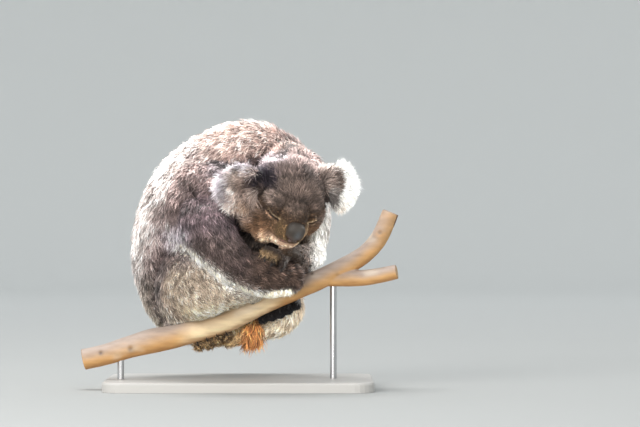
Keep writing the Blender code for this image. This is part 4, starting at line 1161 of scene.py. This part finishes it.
def fur_material(name, rough=0.74, sheen=0.16, bump=0.0):
    mat = bpy.data.materials.new(name)
    tree, shader = nodes_of(mat)
    attr = tree.nodes.new("ShaderNodeVertexColor")
    attr.layer_name = "Coat"
    noise = tree.nodes.new("ShaderNodeTexNoise")
    noise.inputs["Scale"].default_value = 420.0
    noise.inputs["Detail"].default_value = 3.0
    coords = tree.nodes.new("ShaderNodeTexCoord")
    tree.links.new(coords.outputs["Object"], noise.inputs["Vector"])
    ramp = tree.nodes.new("ShaderNodeMapRange")
    ramp.inputs["From Min"].default_value, ramp.inputs["From Max"].default_value = 0.3, 0.7
    ramp.inputs["To Min"].default_value, ramp.inputs["To Max"].default_value = 0.82, 1.16
    tree.links.new(noise.outputs["Fac"], ramp.inputs["Value"])
    times = tree.nodes.new("ShaderNodeMix")
    times.data_type, times.blend_type = "RGBA", "MULTIPLY"
    times.inputs["Factor"].default_value = 1.0
    tree.links.new(attr.outputs["Color"], times.inputs["A"])
    tree.links.new(ramp.outputs["Result"], times.inputs["B"])
    tree.links.new(times.outputs["Result"], shader.inputs["Base Color"])
    shader.inputs["Roughness"].default_value = rough
    shader.inputs["Specular IOR Level"].default_value = 0.3
    shader.inputs["Sheen Weight"].default_value = sheen
    shader.inputs["Sheen Roughness"].default_value = 0.45
    if bump:
        b = tree.nodes.new("ShaderNodeBump")
        b.inputs["Strength"].default_value, b.inputs["Distance"].default_value = bump, 0.001
        tree.links.new(noise.outputs["Fac"], b.inputs["Height"])
        tree.links.new(b.outputs["Normal"], shader.inputs["Normal"])
    return mat


COAT = fur_material("coat_hair")
SKIN = fur_material("skin_hide", 0.8, 0.1, 0.6)
for obj in coats:
    obj.data.materials.append(COAT)
skin.data.materials.clear()
skin.data.materials.append(SKIN)
skin.data.shade_smooth()
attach(skin, "root")
FLESH = ["trunk", "neck", "head", "ear_left", "ear_right", "upper_arm_left", "upper_arm_right", "forearm_left", "forearm_right",
         "hand_left", "hand_right", "thigh_left", "thigh_right", "shank_left", "shank_right", "foot_left", "foot_right"]
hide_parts(*FLESH)


def textured(name, dark, light, scale, rough, bump, stretch=(1, 1, 1), metallic=0.0, detail=6.0, attribute=None, rough_span=0.12,
             specular=0.5):
    """A surface whose colour, roughness and relief vary with noise in the object's own space."""
    mat = bpy.data.materials.new(name)
    tree, shader = nodes_of(mat)
    coords = tree.nodes.new("ShaderNodeTexCoord")
    mapping = tree.nodes.new("ShaderNodeMapping")
    mapping.inputs["Scale"].default_value = stretch
    noise = tree.nodes.new("ShaderNodeTexNoise")
    noise.inputs["Scale"].default_value, noise.inputs["Detail"].default_value = scale, detail
    tree.links.new(coords.outputs["Object"], mapping.inputs["Vector"])
    tree.links.new(mapping.outputs["Vector"], noise.inputs["Vector"])
    ramp = tree.nodes.new("ShaderNodeValToRGB")
    ramp.color_ramp.elements[0].position, ramp.color_ramp.elements[0].color = 0.32, (*dark, 1)
    ramp.color_ramp.elements[1].position, ramp.color_ramp.elements[1].color = 0.68, (*light, 1)
    tree.links.new(noise.outputs["Fac"], ramp.inputs["Fac"])
    if attribute:
        attr = tree.nodes.new("ShaderNodeVertexColor")
        attr.layer_name = attribute
        times = tree.nodes.new("ShaderNodeMix")
        times.data_type, times.blend_type = "RGBA", "MULTIPLY"
        times.inputs["Factor"].default_value = 1.0
        tree.links.new(attr.outputs["Color"], times.inputs["A"])
        tree.links.new(ramp.outputs["Color"], times.inputs["B"])
        tree.links.new(times.outputs["Result"], shader.inputs["Base Color"])
    else:
        tree.links.new(ramp.outputs["Color"], shader.inputs["Base Color"])
    spread = tree.nodes.new("ShaderNodeMapRange")
    spread.inputs["To Min"].default_value, spread.inputs["To Max"].default_value = rough - rough_span, rough + rough_span
    tree.links.new(noise.outputs["Fac"], spread.inputs["Value"])
    tree.links.new(spread.outputs["Result"], shader.inputs["Roughness"])
    b = tree.nodes.new("ShaderNodeBump")
    b.inputs["Strength"].default_value, b.inputs["Distance"].default_value = bump, 0.001
    tree.links.new(noise.outputs["Fac"], b.inputs["Height"])
    tree.links.new(b.outputs["Normal"], shader.inputs["Normal"])
    shader.inputs["Metallic"].default_value = metallic
    shader.inputs["Specular IOR Level"].default_value = specular
    return mat


# ------------------------------------------------------------------ nose pad
def build_nose():
    around, across = 120, 64
    verts, faces = [], []
    for i in range(across + 1):
        e = math.pi * i / across                        # 0 faces forward
        for k in range(around):
            w = 2 * math.pi * k / around
            y, z = math.cos(w), math.sin(w)
            square = (abs(y) ** 2.6 + abs(z) ** 2.6) ** (-1 / 2.6)
            out = math.sin(e) ** 0.8
            f = math.cos(e)
            f = math.copysign(abs(f) ** 0.8, f)
            # Broad above, narrowing a little to the lip.
            narrow = 1.0 - 0.13 * (-z if z < 0 else -0.3 * z)
            verts.append([f * NOSE_SIZE[0], y * square * out * 1.74 * narrow, 0.26 + z * square * out * 1.92])
        if i < across:
            for k in range(around):
                j = (k + 1) % around
                a, b = i * around, (i + 1) * around
                faces.append((a + k, b + k, b + j, a + j))
    v = np.array(verts)
    front = smoothstep(-0.2, 0.5, v[:, 0])
    sink = np.zeros(len(v))
    for side in (1, -1):
        line = [(0.7, 0.72 * side, -0.80), (0.7, 1.12 * side, -0.98), (0.5, 1.42 * side, -0.60)]
        best = np.full(len(v), 1e9)
        for a, b in zip(np.array(line), np.array(line)[1:]):
            seg = b - a
            t = np.clip((v - a)[:, 1:] @ seg[1:] / (seg[1:] @ seg[1:]), 0, 1)
            best = np.minimum(best, np.linalg.norm((v - (a + t[:, None] * seg))[:, 1:], axis=1))
        sink += 0.55 * np.exp(-(best / 0.26) ** 2) - 0.10 * np.exp(-((best - 0.48) / 0.18) ** 2)
    sink += 0.13 * np.exp(-(v[:, 1] / 0.13) ** 2) * smoothstep(-0.6, -1.6, v[:, 2])
    v[:, 0] -= sink * front
    v[:, 0] += 0.10 * smoothstep(-0.4, 1.4, v[:, 2]) * front
    grain = NOISE.rough(v * CM, 0.0016, 2) * 0.012
    v[:, 0] += grain * front
    world = (v @ HEAD.T + on_head(NOSE_AT)) * CM
    obj = mesh_object("nose_pad", world, faces)
    bm = bmesh.new()
    bm.from_mesh(obj.data)
    bmesh.ops.remove_doubles(bm, verts=bm.verts, dist=1e-6)
    bmesh.ops.recalc_face_normals(bm, faces=bm.faces)
    bm.to_mesh(obj.data)
    bm.free()
    n = len(obj.data.vertices)
    q = in_head(points_of(obj.data)) - np.array(NOSE_AT)
    col = mix(srgb(74, 63, 53), srgb(54, 47, 40), smoothstep(-1.0, 1.2, q[:, 2]))
    # Painted highlight: a blue-grey sheen on the middle of the pad.
    col = mix(col, srgb(92, 100, 108), np.exp(-(((q[:, 1] - 0.2) / 0.6) ** 2 + ((q[:, 2] - 0.5) / 0.9) ** 2)) * 0.5)
    for side in (1, -1):
        d = np.hypot(q[:, 1] - 1.2 * side, q[:, 2] + 1.0)
        col = mix(col, srgb(92, 58, 60), np.exp(-(d / 0.75) ** 2) * 0.7)
        # Painted shade: the inside of each nostril groove is darkened.
        col = mix(col, srgb(20, 14, 16), np.exp(-(d / 0.30) ** 2) * 0.9)
    paint(obj.data, col)
    obj.data.materials.append(textured("nose_leather", (0.72,) * 3, (1.0,) * 3, 900, 0.52, 0.8, attribute="Coat", rough_span=0.08))
    obj.data.shade_smooth()
    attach(obj, "root")
    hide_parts("nose")
    return obj


nose = build_nose()


# ------------------------------------------------------------------ eyes and claws
EYE = bpy.data.materials.new("eye_wet")
tree, shader = nodes_of(EYE)
radial = tree.nodes.new("ShaderNodeVertexColor")
radial.layer_name = "Coat"
tree.links.new(radial.outputs["Color"], shader.inputs["Base Color"])
shader.inputs["Roughness"].default_value = 0.06
shader.inputs["Coat Weight"].default_value = 1.0
shader.inputs["Coat Roughness"].default_value = 0.03
for side, name in ((1, "left"), (-1, "right")):
    centre, g, s, q = GAZE[side]
    v, faces = Ball(on_head(centre - g * 0.05), (EYE_R,) * 3).mesh(72, 48)
    obj = mesh_object(f"eyeball_{name}", v, faces)
    d = unit(in_head(v) - centre) @ g
    col = mix(srgb(30, 20, 16), srgb(92, 58, 34), smoothstep(0.72, 0.80, d))
    col = mix(col, srgb(8, 6, 6), smoothstep(0.90, 0.93, d))
    paint(obj.data, col)
    obj.data.materials.append(EYE)
    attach(obj, "root")
    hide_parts(f"eye_{name}")

HORN = textured("claw_horn", (0.010, 0.009, 0.010), (0.030, 0.026, 0.025), 260, 0.48, 0.25, stretch=(1, 1, 0.4), specular=0.3)


def joined(name, meshes, material, slot, *replaced):
    verts, faces, count = [], [], 0
    for v, f in meshes:
        verts.append(v)
        faces += [tuple(i + count for i in face) for face in f]
        count += len(v)
    obj = mesh_object(name, np.vstack(verts), faces)
    obj.data.materials.append(material)
    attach(obj, "root")
    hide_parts(*replaced)
    return obj


for paw, digits, bare in (("hand_right", HAND_R_DIGITS, 0), ("foot_right", FOOT_R_DIGITS, 1), ("foot_left", FOOT_L_DIGITS, 1)):
    shapes = []
    for n, (from_x, to_x, start, end, radius) in enumerate(digits, 1):
        if n <= bare:
            continue
        turned = math.copysign(1, end - start)
        reach = on_branch(to_x, end, 0)[3]
        spread = math.degrees(CLAW_LENGTH / (reach + 0.9)) * turned
        line = []
        for k in range(6):
            share = k / 5
            point = on_branch(to_x, end + turned * 4 + spread * share, reach + 0.95 - 0.46 * share)[0]
            line.append((*point, CLAW_R * 0.85 * (1 - 0.86 * share), CLAW_R * 1.15 * (1 - 0.86 * share)))
        tube = Tube(line, 0.0, across=on_branch(to_x, end, 0)[1], steps=3)
        shapes.append(tube.mesh(sides=20, cap=4))
    joined(f"claws_{paw}", shapes, HORN, "claw", *[f"claw_{paw}_{n}" for n in range(1, len(digits) - bare + 1)])
shapes = []
for n, (knuckle, tip) in enumerate(HAND_L_DIGITS, 1):
    a, b = np.array(knuckle), np.array(tip)
    middle = a * 0.45 + b * 0.55 + np.array([0, 0, 0.5])
    away = unit(b - middle)
    end = b + away * 1.9 + np.array([0, 0, -0.7])
    end = b + (end - b) * 0.50
    shapes.append(Tube([(*(b + away * 0.1), CLAW_R * 0.8), (*(b + (end - b) * 0.55 + [0, 0, 0.12]), CLAW_R * 0.58), (*end, CLAW_R * 0.12)], 0.0, steps=5).mesh(20, 4))
joined("claws_hand_left", shapes, HORN, "claw", *[f"claw_hand_left_{n}" for n in range(1, 6)])


# ------------------------------------------------------------------ the branch
def build_branch():
    verts, faces, count = [], [], 0
    for line, steps in ((BRANCH, 8), (FORK, 12)):
        tube = Tube(line, 0.0, steps=steps)
        v, f = tube.mesh(sides=72, flat=True)
        verts.append(v)
        faces += [tuple(i + count for i in face) for face in f]
        count += len(v)
    rough = mesh_object("branch_rough", np.vstack(verts), faces)
    m = rough.modifiers.new("fuse", "REMESH")
    m.mode, m.voxel_size, m.adaptivity = "VOXEL", 0.0014, 0.0
    m = rough.modifiers.new("even", "SMOOTH")
    m.factor, m.iterations = 0.5, 4
    obj = evaluated(rough, "gum_branch")
    co, normal = points_of(obj.data), normals_of(obj.data)
    rows = through(BRANCH, 6)
    seg = (co / CM)
    low = NOISE.rough(co * np.array([0.55, 1, 1]), 0.035, 3) * 0.0011 + NOISE.rough(co * np.array([0.35, 1, 1]) + 4, 0.008, 2) * 0.00028
    knots = [((-19.3, -5.2, 7.4), 1.1, 0.22), ((25.2, -1.8, 28.0), 0.8, 0.20), ((17.4, -2.4, 20.6), 0.7, 0.10), ((-24.6, -5.3, 6.6), 0.8, 0.12),
             ((13.0, -2.6, 20.6), 0.6, 0.08)]
    dark = np.zeros(len(co))
    for centre, size, height in knots:
        d = np.linalg.norm(co / CM - np.array(centre), axis=1)
        low = low + (height * np.exp(-(d / size) ** 2) - 1.6 * height * np.exp(-(d / (size * 0.35)) ** 2)) * CM
        dark = np.maximum(dark, np.exp(-(d / (size * 0.5)) ** 2))
    ends = np.minimum(np.abs(seg[:, 0] + 27.9), 99)
    co = co + normal * (low * smoothstep(0.0, 1.0, ends))[:, None]
    put_points(obj.data, co)
    normal = normals_of(obj.data)
    x, y, z = (co / CM).T
    patch = NOISE.rough(co * np.array([0.5, 1, 1]), 0.03)
    streak = NOISE.rough(co * np.array([0.18, 1, 1]) + 9, 0.006, 2)
    up = smoothstep(-0.55, 0.75, normal[:, 2] + 0.35 * patch)
    # Painted light: the bark is painted lighter along the middle of the branch, where the animal shades it.
    col = mix(mix(srgb(220, 170, 110), srgb(255, 230, 186), (smoothstep(-12, -7, x) * smoothstep(9, 4, x))), mix(srgb(184, 166, 154), srgb(240, 212, 176), smoothstep(-12, -6, x) * smoothstep(12, 7, x)), up)
    col = mix(col, srgb(190, 130, 74), smoothstep(-0.35, -0.85, normal[:, 2] + 0.25 * streak) * 0.5)
    col = mix(col, srgb(240, 226, 204), smoothstep(0.25, 0.6, patch) * 0.35)
    col = mix(col, srgb(70, 50, 40), dark * 0.75)
    cut = (np.abs(normal[:, 0]) > 0.85) & (x < -27.3)
    top_cut = (normal[:, 2] > 0.85) & (z > 31.0)
    fork_cut = (normal[:, 0] > 0.8) & (x > 27.6)
    for flag, centre in ((cut, BRANCH[0]), (top_cut, BRANCH[-1]), (fork_cut, FORK[-1])):
        r = np.linalg.norm(co / CM - np.array(centre[:3]), axis=1)
        ring = 0.5 + 0.5 * np.sin(r * 2 * math.pi / 0.22 + 0.8 * patch)
        wood = mix(srgb(222, 186, 140), srgb(186, 142, 98), ring * 0.6)
        wood = mix(wood, srgb(120, 82, 56), smoothstep(centre[3] - 0.28, centre[3] - 0.12, r))
        col = np.where(flag[:, None], wood, col)
    col = col * (1 + 0.10 * streak)[:, None]
    paint(obj.data, col, "Bark")
    mat = textured("gum_bark", (0.80, 0.78, 0.76), (1.0, 1.0, 1.0), 95, 0.62, 0.7, stretch=(0.30, 1, 1), attribute="Bark", detail=12.0)
    obj.data.materials.append(mat)
    obj.data.shade_smooth()
    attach(obj, "root")
    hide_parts("perch_branch")
    return obj


branch = build_branch()

# ------------------------------------------------------------------ stand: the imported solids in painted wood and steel
BOARD = textured("stand_board", (0.50, 0.485, 0.46), (0.58, 0.565, 0.54), 14, 0.42, 0.10, stretch=(0.12, 1, 1), detail=8.0, rough_span=0.05)
STEEL = textured("stand_steel", (0.50, 0.50, 0.51), (0.66, 0.66, 0.67), 300, 0.28, 0.12, stretch=(1, 1, 0.04), metallic=1.0, rough_span=0.06)
for name in ("stand_base", "stand_rod_1", "stand_rod_2"):
    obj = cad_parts[name]
    obj.data.materials.clear()
    obj.data.materials.append(BOARD if name == "stand_base" else STEEL)

# ------------------------------------------------------------------ studio
scene = bpy.context.scene


def build_studio():
    rings = [(0.0001, 0.0), (0.5, 0.0), (1.2, 0.0), (2.0, 0.0), (2.8, 0.0), (3.6, 0.0), (4.4, 0.0), (5.2, 0.0), (6.2, 0.0)]
    for k in range(1, 13):
        e = math.pi / 2 * k / 12
        rings.append((6.2 + 2.6 * math.sin(e), 2.6 * (1 - math.cos(e))))
    rings.append((8.8, 7.0))
    sides, verts, faces = 96, [], []
    for r, z in rings:
        for k in range(sides):
            w = 2 * math.pi * k / sides
            verts.append((r * math.cos(w), r * math.sin(w), z - 0.0002))
    for i in range(len(rings) - 1):
        for k in range(sides):
            j = (k + 1) % sides
            faces.append((i * sides + k, i * sides + j, (i + 1) * sides + j, (i + 1) * sides + k))
    floor = mesh_object("studio_floor", verts, faces)
    bm = bmesh.new()
    bm.from_mesh(floor.data)
    bmesh.ops.remove_doubles(bm, verts=bm.verts, dist=1e-5)
    bmesh.ops.recalc_face_normals(bm, faces=bm.faces)
    bm.to_mesh(floor.data)
    bm.free()
    floor.data.shade_smooth()
    r = np.hypot(*points_of(floor.data)[:, :2].T)
    # The paper is painted darker near the middle and lighter out on the wall: painted shade and light that even out how
    # the lamps fall on floor and wall.
    paint(floor.data, mix(np.array([0.42, 0.43, 0.42]), np.array([0.74, 0.755, 0.74]), smoothstep(0.5, 5.5, r)), "Paper")
    mat = bpy.data.materials.new("studio_paper")
    tree, shader = nodes_of(mat)
    attr = tree.nodes.new("ShaderNodeVertexColor")
    attr.layer_name = "Paper"
    tree.links.new(attr.outputs["Color"], shader.inputs["Base Color"])
    shader.inputs["Roughness"].default_value = 0.9
    floor.data.materials.append(mat)
    floor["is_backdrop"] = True

    def area(name, at, aim, size, power, colour=(1, 1, 1)):
        light = bpy.data.lights.new(name, "AREA")
        light.shape, light.size, light.energy, light.color = "DISK", size, power, colour
        obj = bpy.data.objects.new(name, light)
        obj.location = at
        obj.rotation_euler = (Vector(aim) - Vector(at)).to_track_quat("-Z", "Y").to_euler()
        obj.visible_camera = False
        scene.collection.objects.link(obj)
        return obj
    lit = bpy.data.collections.new("lit_from_behind")
    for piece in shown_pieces():
        if not piece.name.startswith(("stand", "gum_branch")):
            lit.objects.link(piece)
    sun = area("sun_behind", (-0.9, 1.2, 3.1), (0, 0, 0.32), 0.8, 470, (1.0, 0.98, 0.95))
    sun.light_linking.receiver_collection = lit
    area("front_soft", (-2.2, -2.7, 1.8), (0, 0, 0.24), 2.2, 78, (1.0, 0.98, 0.96))
    right = area("sun_right", (2.0, 2.1, 2.0), (0, 0, 0.28), 0.7, 240, (1.0, 0.98, 0.95))
    right.light_linking.receiver_collection = lit
    area("top_soft", (-0.3, 0.5, 3.4), (0, 0, 0.2), 1.6, 70)
    area("low_soft", (-0.6, -3.4, 0.35), (0.02, 0, 0.25), 1.8, 58, (1.0, 0.97, 0.93))
    # Backlit hair glows; these pieces take a little more light from the front.
    glow = bpy.data.collections.new("backlit_hair")
    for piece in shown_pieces():
        if piece.name in ("coat_ear_left", "coat_fringe", "coat_leg_left", "coat_rust", "coat_flank_left"):
            glow.objects.link(piece)
    haze = area("hair_glow", (1.2, -3.0, 1.2), (0.05, 0, 0.3), 1.8, 130)
    haze.light_linking.receiver_collection = glow
    # Light thrown back from below on the far side of the muzzle and the chin.
    low = bpy.data.collections.new("lit_from_below")
    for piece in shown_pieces():
        if piece.name in ("coat_face", "nose_pad", "skin") or piece.name.startswith("nose"):
            low.objects.link(piece)
    bounce = area("low_bounce", (1.6, -1.5, 0.12), (0.12, -0.1, 0.28), 0.5, 18, (1.0, 0.93, 0.84))
    bounce.light_linking.receiver_collection = low
    world = bpy.data.worlds.new("studio_air")
    world.use_nodes = True
    world.node_tree.nodes["Background"].inputs[0].default_value = (0.93, 0.96, 1.0, 1)
    world.node_tree.nodes["Background"].inputs[1].default_value = 0.84
    scene.world = world


build_studio()

camera_data = bpy.data.cameras.new("camera")
camera = bpy.data.objects.new("camera", camera_data)
scene.collection.objects.link(camera)
camera.location = (0.144, -4.85, 0.3141)
camera.rotation_euler = (math.radians(90), 0, 0)
camera_data.sensor_width = 36.0
camera_data.lens = 36.0 * 4.85 / (640 * 0.0018)
scene.camera = camera
scene.view_settings.view_transform = "Standard"
scene.view_settings.look = "None"
scene.view_settings.exposure = 0.0
